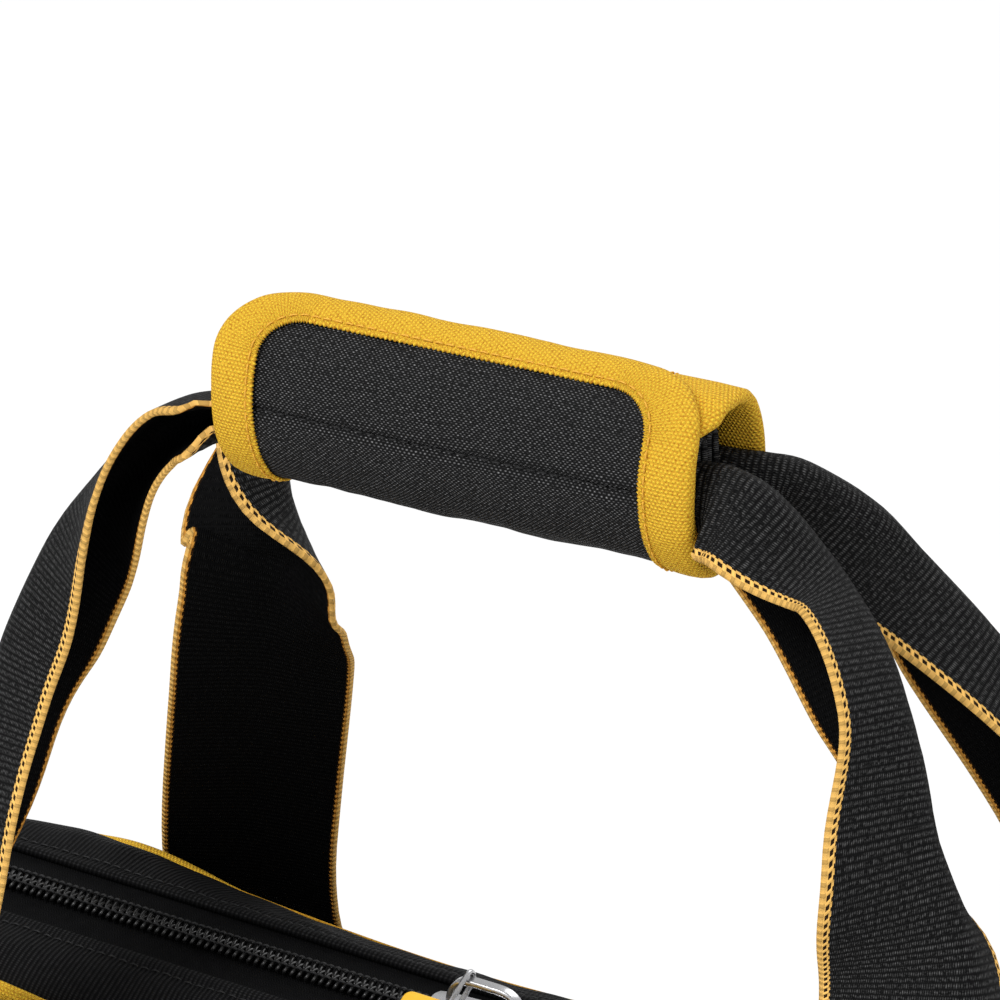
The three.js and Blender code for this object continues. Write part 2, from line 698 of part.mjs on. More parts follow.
const wrapLayer = (x0, x1, from, to, depthAt, thickness, steps) => {
  const outer = [];
  const inner = [];
  for (const x of [x0, x1]) {
    const outerRow = [];
    const innerRow = [];
    for (let j = 0; j <= steps; j += 1) {
      const degrees = from + (to - from) * j / steps;
      const depth = depthAt(degrees);
      outerRow.push(wrapPoint(x, degrees, depth));
      innerRow.push(wrapPoint(x, degrees, depth + thickness));
    }
    outer.push(outerRow);
    inner.push(innerRow);
  }
  return slab(outer, inner);
};

const flapDepth = TRIM + GAP;
const innerDepth = flapDepth + WRAP_PANEL + 2 * GRIP_TAPE + 3 * GAP;
const half = WRAP_LENGTH / 2;

// The sleeve runs from the bottom round the back and over the top,
// stepping inwards where the front flap lies over it
const sleeveDepth = (degrees) => {
  const share = Math.min(1, Math.max(0, (SLEEVE_STEP - 2 - degrees) / 50));
  return flapDepth + (innerDepth - flapDepth) * share;
};

const makeWrap = () => {
  const sleeve = wrapLayer(-half, half, INNER_END, SLEEVE_LOW, sleeveDepth, WRAP_PANEL, 24);
  addMesh(wrapFrame, 'wrap_sleeve', sleeve, CANVAS, 0.85);

  const flap = wrapLayer(-half, half, FLAP_LOW, FLAP_END, () => flapDepth, WRAP_PANEL, 20);
  addMesh(wrapFrame, 'wrap_flap', flap, CANVAS, 0.85);

  const trimShell = wrapLayer(-half, half, FLAP_LOW, FLAP_END, () => 0, TRIM, 20);
  const trimArc = TRIM_WIDTH / WRAP_HALF_DEPTH * 180 / Math.PI;
  const window = wrapLayer(
    -half + TRIM_WIDTH, half - TRIM_WIDTH, FLAP_LOW - 5, FLAP_END - trimArc, () => -1, TRIM + 2, 20,
  );
  addMesh(wrapFrame, 'flap_binding', cut(trimShell, window), YELLOW, 0.8);

  for (const [side, sign] of [['left', -1], ['right', 1]]) {
    const a = sign * half;
    const b = sign * (half - TRIM_WIDTH);
    const strip = wrapLayer(Math.min(a, b), Math.max(a, b), SLEEVE_STEP, SLEEVE_LOW, () => 0, TRIM, 12);
    addMesh(wrapFrame, `sleeve_binding_${side}`, strip, YELLOW, 0.8);
  }

  const stripHalf = half - TRIM_WIDTH;
  const hookDepth = flapDepth + WRAP_PANEL + GAP;
  const loopDepth = hookDepth + GRIP_TAPE + GAP;
  const tapeEnd = TAPE_START + TAPE_ARC;
  const hook = wrapLayer(-stripHalf, stripHalf, TAPE_START, tapeEnd, () => hookDepth, GRIP_TAPE, 4);
  addMesh(wrapFrame, 'hook_strip', hook, RUBBER, 0.95);
  const loop = wrapLayer(-stripHalf, stripHalf, TAPE_START, tapeEnd, () => loopDepth, GRIP_TAPE, 4);
  addMesh(wrapFrame, 'loop_strip', loop, RUBBER, 0.95);

  for (const [face, sign] of [['front', -1], ['rear', 1]]) {
    const near = sign * GAP;
    const far = sign * (GAP + GRIP_LAYERS);
    const grip = boxBetween(
      [-half, Math.min(near, far), -GRIP_HEIGHT / 2],
      [half, Math.max(near, far), GRIP_HEIGHT / 2],
    );
    addMesh(wrapFrame, `strap_grip_${face}`, grip, WEBBING, 0.75);
  }
};

makeBase();
makeWalls();
makeEnds();
makePiping();
makeZipper();
makeSliders();
makePockets();
makeStrapBases();
for (const [name, leg] of Object.entries(LEGS)) {
  makeLeg(name, leg);
}
makeWrap();

export default bag;
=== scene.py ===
# A zippered tool bag, dressed for its photograph: soft fabric panels with
# bound seams, a coil zipper with two sliders, sewn pockets, and ribbed
# webbing straps that a padded hand wrap holds together.
# Sizes are in millimetres and turn into metres when a mesh is made.

import math

import bpy
import numpy as np
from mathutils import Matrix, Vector, noise


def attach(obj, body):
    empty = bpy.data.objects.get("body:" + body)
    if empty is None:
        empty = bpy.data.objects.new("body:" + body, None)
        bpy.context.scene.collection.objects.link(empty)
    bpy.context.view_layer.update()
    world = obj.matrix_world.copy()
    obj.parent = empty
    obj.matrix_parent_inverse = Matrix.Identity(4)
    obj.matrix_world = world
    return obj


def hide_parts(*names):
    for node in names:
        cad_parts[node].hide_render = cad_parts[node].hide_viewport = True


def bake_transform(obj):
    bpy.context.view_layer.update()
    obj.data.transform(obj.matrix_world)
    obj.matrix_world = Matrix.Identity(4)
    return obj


MM = 0.001
SIDES = (("left", -1), ("right", 1))
FACES = (("front", -1), ("rear", 1))

# Bag body
HALF_LENGTH = 195.0
HALF_DEPTH = 100.0
PANEL = 3.0
WALL_LOW = 8.6
BEND_HEIGHT = 150.0
SEAM_HEIGHT = 238.0
SEAM_OFFSET = 37.4
INNER_END = 191.7
CORNER_STAND = 98.6
BINDING_SHEET = 0.7
END_BINDING_SHEET = 0.8
RIBBED_SHEET = 1.6

# Zipper
TAPE_TOP = 247.1
TAPE = 0.8
COIL_LOW = 247.3
COIL_HEIGHT = 2.95
COIL_PITCH = 2.1
COIL_OUTER = 3.7
COIL_WIRE = 0.5
COIL_OVERLAP = 0.75
BAND_TOP = 248.2
BAND_EDGE = 13.7

# Straps
STRAP_WIDTH = 45.0
STRAP = 1.7
STRAP_X = 140.0
STRAP_TOP = 148.0
STRAP_STAND = 1.3
CREASE = 4.0

# Hand wrap
WRAP_CENTRE = (-8.5, -20.0, 422.7)
WRAP_TILT = math.radians(2)
WRAP_LENGTH = 121.0
WRAP_HALF_DEPTH = 17.5
WRAP_HALF_HEIGHT = 23.8
BINDING_WIDTH = 11.5
FLAP_CORNER = 22.0
FLAP_LOW = -84.0
FLAP_END = 101.0
FLAP_DEPTH = 1.0
FLAP_LONGER = 3.0
SLEEVE_START = 34.0
SLEEVE_LOW = 269.0
SLEEVE_DEPTH = 4.3
SLEEVE_LEFT = -54.5
SLEEVE_RIGHT = 65.5
FLAP_SHEET = 2.4
SLEEVE_SHEET = 2.0
GRIP_SHEET = 1.4
GRIP_TAPE_SHEET = 0.6
SEAM_SHARE = 0.47

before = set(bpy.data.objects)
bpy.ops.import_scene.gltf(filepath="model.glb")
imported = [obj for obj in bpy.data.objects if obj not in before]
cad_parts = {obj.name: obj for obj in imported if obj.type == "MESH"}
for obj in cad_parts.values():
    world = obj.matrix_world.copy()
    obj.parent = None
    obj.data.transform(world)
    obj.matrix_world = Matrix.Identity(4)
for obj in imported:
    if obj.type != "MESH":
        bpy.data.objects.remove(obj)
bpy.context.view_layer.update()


# Node expressions
class Field:
    """A value that changes over a surface. Expressions on it add Math nodes."""

    def __init__(self, paint, socket):
        self.paint = paint
        self.socket = socket

    def maths(self, operation, *others):
        values = {0: self}
        for place, other in enumerate(others, start=1):
            values[place] = other
        return self.paint.node("ShaderNodeMath", {"operation": operation}, values)

    def __add__(self, other):
        return self.maths("ADD", other)

    __radd__ = __add__

    def __mul__(self, other):
        return self.maths("MULTIPLY", other)

    __rmul__ = __mul__

    def __sub__(self, other):
        return self.maths("SUBTRACT", other)

    def __rsub__(self, other):
        return self * -1 + other

    def __truediv__(self, other):
        return self.maths("DIVIDE", other)

    def floor(self):
        return self.maths("FLOOR")

    def size(self):
        return self.maths("ABSOLUTE")

    def over(self, limit):
        return self.maths("GREATER_THAN", limit)

    def least(self, other):
        return self.maths("MINIMUM", other)

    def most(self, other):
        return self.maths("MAXIMUM", other)

    def hump(self):
        """One smooth hump from 0 to 1 and back for each whole step."""
        wave = (self * math.pi).maths("SINE")
        return wave * wave


class Paint:
    """A material in the making, or the world's light."""

    def __init__(self, name, world=False):
        store = bpy.data.worlds if world else bpy.data.materials
        self.made = store.new(name)
        self.made.use_nodes = True
        self.tree = self.made.node_tree
        self.tree.nodes.clear()

    def node(self, kind, settings, values, out=0):
        made = self.tree.nodes.new(kind)
        for key, value in settings.items():
            setattr(made, key, value)
        for key, value in values.items():
            if isinstance(value, Field):
                self.tree.links.new(value.socket, made.inputs[key])
            else:
                made.inputs[key].default_value = value
        return Field(self, made.outputs[out]) if made.outputs else None

    def weave_vector(self):
        """Place on the cloth in millimetres."""
        return self.node("ShaderNodeUVMap", {"uv_map": "weave"}, {})

    def weave_place(self):
        """The same place as two numbers: across, along."""
        parts = self.tree.nodes.new("ShaderNodeSeparateXYZ")
        self.tree.links.new(self.weave_vector().socket, parts.inputs[0])
        return Field(self, parts.outputs[0]), Field(self, parts.outputs[1])

    def spark(self, scale, detail=2.0):
        """Blotches that lie on the cloth, 0 to 1."""
        values = {"Vector": self.weave_vector(), "Scale": scale, "Detail": detail}
        return self.node("ShaderNodeTexNoise", {}, values)

    def cloud(self, scale, detail=3.0):
        """Soft blotches in the object's own space, 0 to 1."""
        place = self.node("ShaderNodeTexCoord", {}, {}, out=3)
        return self.node("ShaderNodeTexNoise", {}, {"Vector": place, "Scale": scale, "Detail": detail})

    def mix(self, share, first, second):
        values = {0: share, 6: colour(first), 7: colour(second)}
        return self.node("ShaderNodeMix", {"data_type": "RGBA"}, values, out=2)

    def finish(self, base, roughness, height, bump, **fixed):
        """Closes the material. Bump is the height in millimetres."""
        relief = {"Strength": 1.0, "Distance": bump * MM, "Height": height}
        values = {"Base Color": base, "Roughness": roughness,
                  "Normal": self.node("ShaderNodeBump", {}, relief)}
        for key, value in fixed.items():
            values[key.replace("_", " ")] = value
        shader = self.node("ShaderNodeBsdfPrincipled", {}, values)
        self.node("ShaderNodeOutputMaterial", {}, {"Surface": shader})
        return self.made


def colour(value):
    return value if isinstance(value, Field) else (*value, 1)


def thread_rows(across, along, thread, row):
    """Raised threads in rows, every second row shifted by half a thread."""
    rows = along / row
    shifted = across / thread + rows.floor() * 0.5
    return shifted.hump() * rows.hump()


# Materials
YELLOW = (0.99, 0.64, 0.05)
# Darker yellow painted as shade in the binding's gaps between its cords.
YELLOW_GAP_SHADE = (0.4, 0.14, 0.008)


def paint_canvas():
    """Coarse black weave with painted glints: its thread tops are painted lighter, each a little
    differently.
    """
    paint = Paint("canvas")
    across, along = paint.weave_place()
    threads = thread_rows(across, along, 1.15, 0.56)
    # glint is a painted highlight on the raised thread tops, set into the base colour.
    glint = threads * threads * (paint.spark(1.3) * 3.4 - 1.15).most(0.06)
    base = paint.mix(glint.least(1), (0.003, 0.003, 0.0032), (0.3, 0.3, 0.305))
    return paint.finish(base, 0.6, threads, 0.22, Specular_IOR_Level=0.1)


def paint_ribbed():
    """Black cloth with cords running across the zipper, the cord tops painted lighter as a painted
    highlight.
    """
    paint = Paint("ribbed_canvas")
    across, along = paint.weave_place()
    ribs = (across / 1.3).hump()
    # glint, and ribs * 0.15 below, are painted highlights on the cord tops.
    glint = ribs * (paint.cloud(800, 2) * 1.6 - 0.3).most(0.1) * (along / 0.6).hump()
    base = paint.mix((glint + ribs * 0.15).least(1), (0.0022, 0.0022, 0.0024), (0.032, 0.032, 0.033))
    return paint.finish(base, 0.7, ribs, 0.35, Specular_IOR_Level=0.06)


def paint_webbing(name, glint_brightness, shine, edge, chain):
    """Webbing ribbed across its length, with painted glints on its thread tops, and a yellow chain along
    each selvedge, as wide as chain, whose loops carry painted shade and light."""
    paint = Paint(name)
    across, along = paint.weave_place()
    ribs = (along / 1.55).hump()
    threads = (across / 0.52 + (along / 1.55).floor() * 0.5).hump() * ribs
    # glint is a painted highlight on the thread tops; the number given after the name sets how bright it is.
    glint = threads * (paint.spark(1.1) * 3.6 - 1.3).most(0.05)
    black = paint.mix(glint.least(1), (0.0022, 0.0022, 0.0024), (glint_brightness, glint_brightness, glint_brightness))
    from_edge = STRAP_WIDTH / 2 - across.size()
    step = along / 2.0 + from_edge * 0.3
    loops = step.hump()
    second = (step + 0.5).hump()
    inner_row = (0.4 - (from_edge - 0.95).size()).over(0) * second.over(0.42)
    border_row = (from_edge - chain + 0.3).over(0) * loops.over(0.6)
    edge_row = (0.3 - from_edge).over(0) * loops.over(0.62)
    fleck = inner_row.most(border_row).most(edge_row * 0.45)
    # The loops * 0.22 + 0.78 factor paints shade and light over each yellow loop of the chain.
    yellow = paint.mix((loops * 0.22 + 0.78) * (1 - fleck), (0.02, 0.009, 0.003), edge)
    selvedge = (chain - from_edge).over(0)
    base = paint.mix(selvedge, black, yellow)
    height = threads * (1 - selvedge) * 0.7 + loops * selvedge
    return paint.finish(base, 0.6, height, 0.35, Specular_IOR_Level=shine)


def paint_binding():
    """Yellow grosgrain tape with painted shade, a darker yellow, in the gaps between its cords, varied at
    random.
    """
    paint = Paint("binding")
    across, along = paint.weave_place()
    cords = thread_rows(across, along, 1.0, 0.9)
    # Painted shade where the cords dip, in random patches.
    gap_shade = (0.42 - cords).most(0) * (paint.spark(1.6, 1.0) * 3.4 - 0.1)
    base = paint.mix(gap_shade.least(1), YELLOW, YELLOW_GAP_SHADE)
    return paint.finish(base, 0.8, cords, 0.4, Specular_IOR_Level=0.12)


def paint_tape():
    paint = Paint("zipper_tape")
    across, along = paint.weave_place()
    step = across / 2.4
    chevron = (step - step.floor() - 0.5).size() * 2
    twill = (along / 0.8 + chevron * 1.4).hump()
    # The raised twill lines are painted lighter in patches: a painted highlight on the black tape.
    base = paint.mix(twill * paint.cloud(300), (0.002, 0.002, 0.0022), (0.0095, 0.0095, 0.01))
    return paint.finish(base, 0.75, twill, 0.08, Specular_IOR_Level=0.05)


def paint_coil():
    """Black nylon wire, smooth enough to glint on its tops."""
    paint = Paint("coil")
    blotch = paint.cloud(300)
    base = paint.mix(blotch, (0.004, 0.004, 0.004), (0.009, 0.009, 0.009))
    return paint.finish(base, blotch * 0.12 + 0.22, blotch, 0.02, Specular_IOR_Level=0.42)


def paint_thread(name, dark, light, shine):
    paint = Paint(name)
    twist = paint.cloud(1500)
    return paint.finish(paint.mix(twist, dark, light), 0.6, twist, 0.05, Specular_IOR_Level=shine)


def paint_metal():
    """Cast slider metal, plated grey, with fine scratches and dull spots."""
    paint = Paint("slider_metal")
    grain = paint.cloud(600, 6)
    broad = paint.cloud(120)
    base = paint.mix(broad, (0.5, 0.5, 0.51), (0.72, 0.72, 0.73))
    return paint.finish(base, grain * 0.2 + 0.18, grain, 0.03, Metallic=1.0)


def paint_grained(name, scale, detail, dark, light, roughness, bump):
    """Moulded plastic or rubber, a little uneven in colour and in shine."""
    paint = Paint(name)
    grain = paint.cloud(scale, detail)
    return paint.finish(paint.mix(grain, dark, light), grain * 0.2 + roughness, grain, bump)


def paint_hook():
    paint = Paint("hook_and_loop")
    fuzz = paint.node("ShaderNodeTexVoronoi", {}, {"Scale": 900.0})
    base = paint.mix(fuzz, (0.003, 0.003, 0.003), (0.025, 0.025, 0.026))
    return paint.finish(base, 0.95, fuzz, 0.4, Specular_IOR_Level=0.1)


CANVAS = paint_canvas()
RIBBED = paint_ribbed()
WEBBING = paint_webbing("webbing", 0.12, 0.08, (0.97, 0.57, 0.15), 1.95)
# A darker copy of the webbing, painted shade for the faces turned inwards in the folded straps: dimmer
# glints and a darker, browner selvedge.
WEBBING_SHADED = paint_webbing("webbing_shaded", 0.012, 0.03, (0.66, 0.3, 0.05), 1.1)
BINDING = paint_binding()
TAPE_CLOTH = paint_tape()
COIL = paint_coil()
THREAD = paint_thread("thread", (0.003, 0.003, 0.003), (0.02, 0.02, 0.021), 0.3)
YELLOW_THREAD = paint_thread("yellow_thread", (0.6, 0.27, 0.015), (0.95, 0.55, 0.05), 0.5)
METAL = paint_metal()
PULL = paint_grained("pull", 500, 5, (0.88, 0.47, 0.02), (0.96, 0.57, 0.045), 0.4, 0.06)
HOOK = paint_hook()
RUBBER = paint_grained("foot_rubber", 400, 5, (0.006, 0.006, 0.006), (0.016, 0.016, 0.016), 0.5, 0.08)
BOARD = paint_grained("board", 250, 6, (0.012, 0.012, 0.012), (0.03, 0.03, 0.031), 0.55, 0.1)


# Meshes
def mesh_piece(name, points, faces, places, material, body, under=None):
    """An object from points in millimetres. places gives each point's spot
    on the cloth, across and along, for the weave. under is a material and
    the places in the face list that take it."""
    mesh = bpy.data.meshes.new(name)
    mesh.from_pydata([tuple(p * MM) for p in np.asarray(points, float)], [], faces)
    layer = mesh.uv_layers.new(name="weave")
    corners = np.empty(len(mesh.loops), dtype=np.int64)
    mesh.loops.foreach_get("vertex_index", corners)
    layer.data.foreach_set("uv", np.asarray(places, float)[corners].ravel())
    mesh.polygons.foreach_set("use_smooth", [True] * len(mesh.polygons))
    mesh.materials.append(material)
    if under:
        mesh.materials.append(under[0])
        for index in under[1]:
            mesh.polygons[index].material_index = 1
    mesh.validate()
    piece = bpy.data.objects.new(name, mesh)
    bpy.context.scene.collection.objects.link(piece)
    if body:
        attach(piece, body)
    return piece


def unit(vectors):
    size = np.linalg.norm(vectors, axis=-1, keepdims=True)
    return vectors / np.maximum(size, 1e-9)


def at_x(x, section):
    """A line of [y, z] points as points at x."""
    return np.column_stack([np.full(len(section), x), section])


def normals(grid):
    """The unit normal at each point of a grid."""
    return unit(np.cross(np.gradient(grid, axis=0), np.gradient(grid, axis=1)))


def grid_of(x, y, z):
    """Points from separate x, y and z, spread out to one size."""
    return np.stack(np.broadcast_arrays(x, y, z), axis=-1)


def run_lengths(points):
    """Length along the first axis of a grid, averaged over the second."""
    steps = np.linalg.norm(np.diff(points, axis=0), axis=-1)
    if steps.ndim > 1:
        steps = steps.mean(axis=1)
    return np.concatenate([[0], np.cumsum(steps)])


def sheet_mesh(grid, thickness, places, flip=False):
    """A closed sheet round a grid of middle points, with a rounded rim.
    Returns points, faces and places."""
    down = np.gradient(grid, axis=0)
    side = np.gradient(grid, axis=1)
    normal = -normals(grid) if flip else normals(grid)
    half = thickness / 2
    rows, columns = grid.shape[:2]
    upper = grid + normal * half
    lower = grid - normal * half
    rim = []
    ring = ([(0, j) for j in range(columns)] + [(i, columns - 1) for i in range(1, rows)]
            + [(rows - 1, j) for j in range(columns - 2, -1, -1)] + [(i, 0) for i in range(rows - 2, 0, -1)])
    for i, j in ring:
        out = np.zeros(3)
        if i == 0:
            out -= unit(down[i, j])
        if i == rows - 1:
            out += unit(down[i, j])
        if j == 0:
            out -= unit(side[i, j])
        if j == columns - 1:
            out += unit(side[i, j])
        rim.append(grid[i, j] + unit(out) * half)
    count = rows * columns
    points = np.concatenate([upper.reshape(-1, 3), lower.reshape(-1, 3), np.array(rim)])
    spots = np.concatenate([places.reshape(-1, 2), places.reshape(-1, 2),
                            np.array([places[i, j] for i, j in ring])])
    faces = []
    for i in range(rows - 1):
        for j in range(columns - 1):
            a = i * columns + j
            quad = (a, a + columns, a + columns + 1, a + 1)
            if flip:
                quad = quad[::-1]
            faces.append(quad)
            faces.append(tuple(count + k for k in quad[::-1]))
    for k, (i, j) in enumerate(ring):
        p, q = ring[(k + 1) % len(ring)]
        here, there = i * columns + j, p * columns + q
        low, high = 2 * count + k, 2 * count + (k + 1) % len(ring)
        first = (here, there, high, low)
        second = (low, high, count + there, count + here)
        if flip:
            first, second = first[::-1], second[::-1]
        faces.append(first)
        faces.append(second)
    return points, faces, spots


def sheet_piece(name, grid, thickness, material, body, places=None, flip=False, under=None):
    if places is None:
        along = run_lengths(grid)
        across = run_lengths(np.swapaxes(grid, 0, 1))
        places = np.stack(np.meshgrid(across, along), axis=-1)
    points, faces, spots = sheet_mesh(grid, thickness, places, flip)
    quads = (grid.shape[0] - 1) * (grid.shape[1] - 1)
    underside = (under, range(1, 2 * quads, 2)) if under else None
    return mesh_piece(name, points, faces, spots, material, body, underside)


def ring_faces(count, sides, closed=False):
    """Faces between rings of points, with both ends filled unless closed."""
    faces = []
    for i in range(count if closed else count - 1):
        n = (i + 1) % count
        for j in range(sides):
            m = (j + 1) % sides
            faces.append((i * sides + j, i * sides + m, n * sides + m, n * sides + j))
    if not closed:
        faces.append(tuple(range(sides))[::-1])
        faces.append(tuple((count - 1) * sides + j for j in range(sides)))
    return faces


def tube_mesh(path, radius, sides=6, closed=False, flat=1.0):
    """Points and faces of a tube. radius may be one number or one for each
    point, and flat squashes it along the path's own normal."""
    path = np.asarray(path, float)
    ahead = unit(np.gradient(path, axis=0))
    if closed:
        ahead = unit(np.roll(path, -1, axis=0) - np.roll(path, 1, axis=0))
    reference = np.array([0.0, 0.0, 1.0])
    side = np.cross(ahead, reference)
    weak = np.linalg.norm(side, axis=1) < 0.2
    side[weak] = np.cross(ahead[weak], np.array([1.0, 0.0, 0.0]))
    side = unit(side)
    for k in range(1, len(side)):
        if np.dot(side[k], side[k - 1]) < 0:
            side[k] = -side[k]
    up = np.cross(side, ahead)
    radii = np.broadcast_to(np.asarray(radius, float), (len(path),))
    angles = np.linspace(0, 2 * math.pi, sides, endpoint=False)
    rings = [path + (side * math.cos(a) + up * (math.sin(a) * flat)) * radii[:, None] for a in angles]
    return np.stack(rings, axis=1).reshape(-1, 3), ring_faces(len(path), sides, closed)


def joined(parts):
    """Several point and face lists as one."""
    points, faces, start = [], [], 0
    for some, ring in parts:
        points.append(np.asarray(some, float))
        faces.extend(tuple(start + k for k in face) for face in ring)
        start += len(some)
    return np.concatenate(points), faces


def flat_places(points):
    return np.stack([points[:, 0], points[:, 1] + points[:, 2]], axis=1)


def tube_piece(name, paths, radius, material, body, sides=6, closed=False):
    points, faces = joined([tube_mesh(path, radius, sides, closed) for path in paths])
    return mesh_piece(name, points, faces, flat_places(points), material, body)


def bevelled(piece, width, segments):
    """Rounds a piece's edges and applies the modifier."""
    bevel = piece.modifiers.new("edges", "BEVEL")
    bevel.width = width * MM
    bevel.segments = segments
    bevel.limit_method = "ANGLE"
    bevel.angle_limit = math.radians(35)
    graph = bpy.context.evaluated_depsgraph_get()
    graph.update()
    done = bpy.data.meshes.new_from_object(piece.evaluated_get(graph))
    piece.modifiers.clear()
    piece.data = done


def outline_solid(outline, low, high):
    """Points and faces of a flat outline [x, y] raised from low to high."""
    outline = np.asarray(outline, float)
    count = len(outline)
    points = np.concatenate([
        np.column_stack([outline, np.full(count, low)]),
        np.column_stack([outline, np.full(count, high)]),
    ])
    faces = [tuple(range(count))[::-1], tuple(range(count, 2 * count))]
    for i in range(count):
        n = (i + 1) % count
        faces.append((i, n, count + n, count + i))
    return points, faces


def smooth_run(points, steps):
    """A smooth curve through points, as many steps between each two."""
    points = np.asarray(points, float)
    ends = np.concatenate([[2 * points[0] - points[1]], points, [2 * points[-1] - points[-2]]])
    curve = []
    for i in range(len(points) - 1):
        a, b, c, d = ends[i:i + 4]
        for k in range(steps):
            t = k / steps
            curve.append(0.5 * ((2 * b) + (c - a) * t + (2 * a - 5 * b + 4 * c - d) * t ** 2
                                + (3 * b - a - 3 * c + d) * t ** 3))
    curve.append(points[-1])
    return np.array(curve)


def even_run(points, spacing):
    """Points at even spacing along a path, with the path's direction there."""
    points = np.asarray(points, float)
    lengths = run_lengths(points)
    count = max(2, int(lengths[-1] / spacing) + 1)
    places = np.linspace(0, lengths[-1], count)
    even = np.stack([np.interp(places, lengths, points[:, k]) for k in range(3)], axis=1)
    return even, unit(np.gradient(even, axis=0))


STITCH_PITCH = 2.9


def stitch_row(name, path, lift, material, body, pitch=STITCH_PITCH, length=2.0, radius=0.22):
    """A row of thread stitches along a path. lift points out of the cloth."""
    places, ahead = even_run(path, pitch)
    lift = np.broadcast_to(np.asarray(lift, float), places.shape)
    parts = []
    for place, direction, out in zip(places, ahead, lift):
        ends = np.linspace(-0.5, 0.5, 5)[:, None] * length * direction
        rise = (1 - (np.linspace(-1, 1, 5) ** 2))[:, None] * radius * 1.3 * unit(out)
        parts.append(tube_mesh(place + ends + rise - unit(out) * radius * 0.6, radius, 5))
    points, faces = joined(parts)
    return mesh_piece(name, points, faces, flat_places(points), material, body)


def lumps(points, size, height, seed=0.0):
    """Soft uneven lumps, a height for each point."""
    points = np.asarray(points, float)
    flat = points.reshape(-1, 3)
    values = [noise.noise(Vector((p[0] / size + seed, p[1] / size, p[2] / size))) for p in flat]
    return np.array(values).reshape(points.shape[:-1]) * height


# Bag body
# Half of the bag's outer section, from the middle of its base to the seam
HALF_SECTION = [
    (0, 5.4), (45, 5.3), (80, 5.3), (92, 5.8), (98.2, 9), (99.8, 16), (99.2, 50), (98.8, 90),
    (99.2, 125), (99.0, 141), (96.6, 150.5), (91, 160.5), (79, 176), (61.5, 200), (46.5, 222.5),
    (37.8, 236.6),
]


def seam_lift(x):
    """How far the top seams ride up or down along the bag."""
    return 4.2 * np.exp(-((x + 152) / 34) ** 2) - 1.6 * np.exp(-((x + 45) / 50) ** 2) + 0.8 * np.sin(x / 31)


def body_section(x, side):
    """The outer section at x on one side, from base to seam, as [y, z]."""
    section = smooth_run(HALF_SECTION, 4)
    rise = np.clip((section[:, 1] - BEND_HEIGHT) / (SEAM_HEIGHT - BEND_HEIGHT), 0, 1)
    section[:, 1] += rise ** 2 * seam_lift(x)
    sag = np.sin(rise * math.pi) * (1 - (x / HALF_LENGTH) ** 2) * 2.6
    section[:, 0] -= sag * 0.8
    section[:, 1] -= sag * 0.6
    section[:, 0] *= side
    return section, rise


def make_body_shell():
    """The long sides and the base as one sheet, from seam to seam."""
    columns = np.linspace(-INNER_END, INNER_END, 131)
    rows = []
    for x in columns:
        front, rise = body_section(x, -1)
        rear, _ = body_section(x, 1)
        line = np.concatenate([front[::-1], rear[1:]])
        lift = np.concatenate([rise[::-1], rise[1:]])
        points = at_x(x, line)
        across = np.gradient(points, axis=0)
        normal = unit(np.cross(across, np.array([1.0, 0, 0])))
        folds = lumps(points, 38, 3.4, 3) + lumps(points, 14, 0.9, 9)
        crumple = np.sin(np.clip(lift, 0, 1) * math.pi) * np.clip((INNER_END - abs(x)) / 14, 0, 1)
        rows.append(points - normal * (PANEL / 2) + normal * (folds * crumple)[:, None])
    grid = np.array(rows)
    shell = sheet_piece("body_shell", grid, PANEL, CANVAS, "bag", flip=points_inwards(grid))
    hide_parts("front_wall", "front_slope", "rear_wall", "rear_slope", "base_panel")


def points_inwards(grid):
    """True if the sheet's own normal points to the grid's inside."""
    middle = grid.reshape(-1, 3).mean(axis=0)
    return bool(((grid - middle) * normals(grid)).sum() < 0)


def roof_height(y):
    """Height of the end panels' upper edge at y."""
    knots_y = [0, BAND_EDGE, SEAM_OFFSET, HALF_DEPTH]
    knots_z = [BAND_TOP, BAND_TOP, SEAM_HEIGHT, BEND_HEIGHT]
    return np.interp(abs(y), knots_y, knots_z)


def make_end_panels():
    across = np.concatenate([[-CORNER_STAND], np.linspace(-96, 96, 49), [CORNER_STAND]])
    for side, sign in SIDES:
        rows = []
        for share in np.linspace(0, 1, 41):
            glint_brightness = np.array([roof_height(y) for y in across]) - 0.8
            z = WALL_LOW + share * (glint_brightness - WALL_LOW)
            edge = np.minimum(share, 1 - share) * 6
            puff = np.clip(edge, 0, 1) * np.clip((CORNER_STAND - abs(across)) / 22, 0, 1)
            points = np.column_stack([np.zeros(len(across)), across, z])
            x = HALF_LENGTH - PANEL / 2 - puff * (1.2 + lumps(points, 45, 2.4, sign * 5))
            rows.append(np.column_stack([sign * x, across, z]))
        grid = np.array(rows)
        panel = sheet_piece(f"end_panel_{side}", grid, PANEL, CANVAS, "bag", flip=sign < 0)
        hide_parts(f"{side}_end")


def house_path(inset):
    """The end panels' outline, from one lower corner over the top to the other."""
    rise = [
        (HALF_DEPTH, WALL_LOW), (HALF_DEPTH, 60), (HALF_DEPTH, 120), (HALF_DEPTH - 0.6, 143), (95, 156.5),
        (70, 192), (42.5, 230), (SEAM_OFFSET - 3, 239.2), (BAND_EDGE, BAND_TOP), (0, BAND_TOP + 0.3),
    ]
    half = smooth_run(rise, 6)
    path = np.concatenate([half * (-1, 1), half[::-1][1:]])
    ahead = unit(np.gradient(path, axis=0))
    inwards = np.column_stack([ahead[:, 1], -ahead[:, 0]])
    return path + inwards * inset, inwards


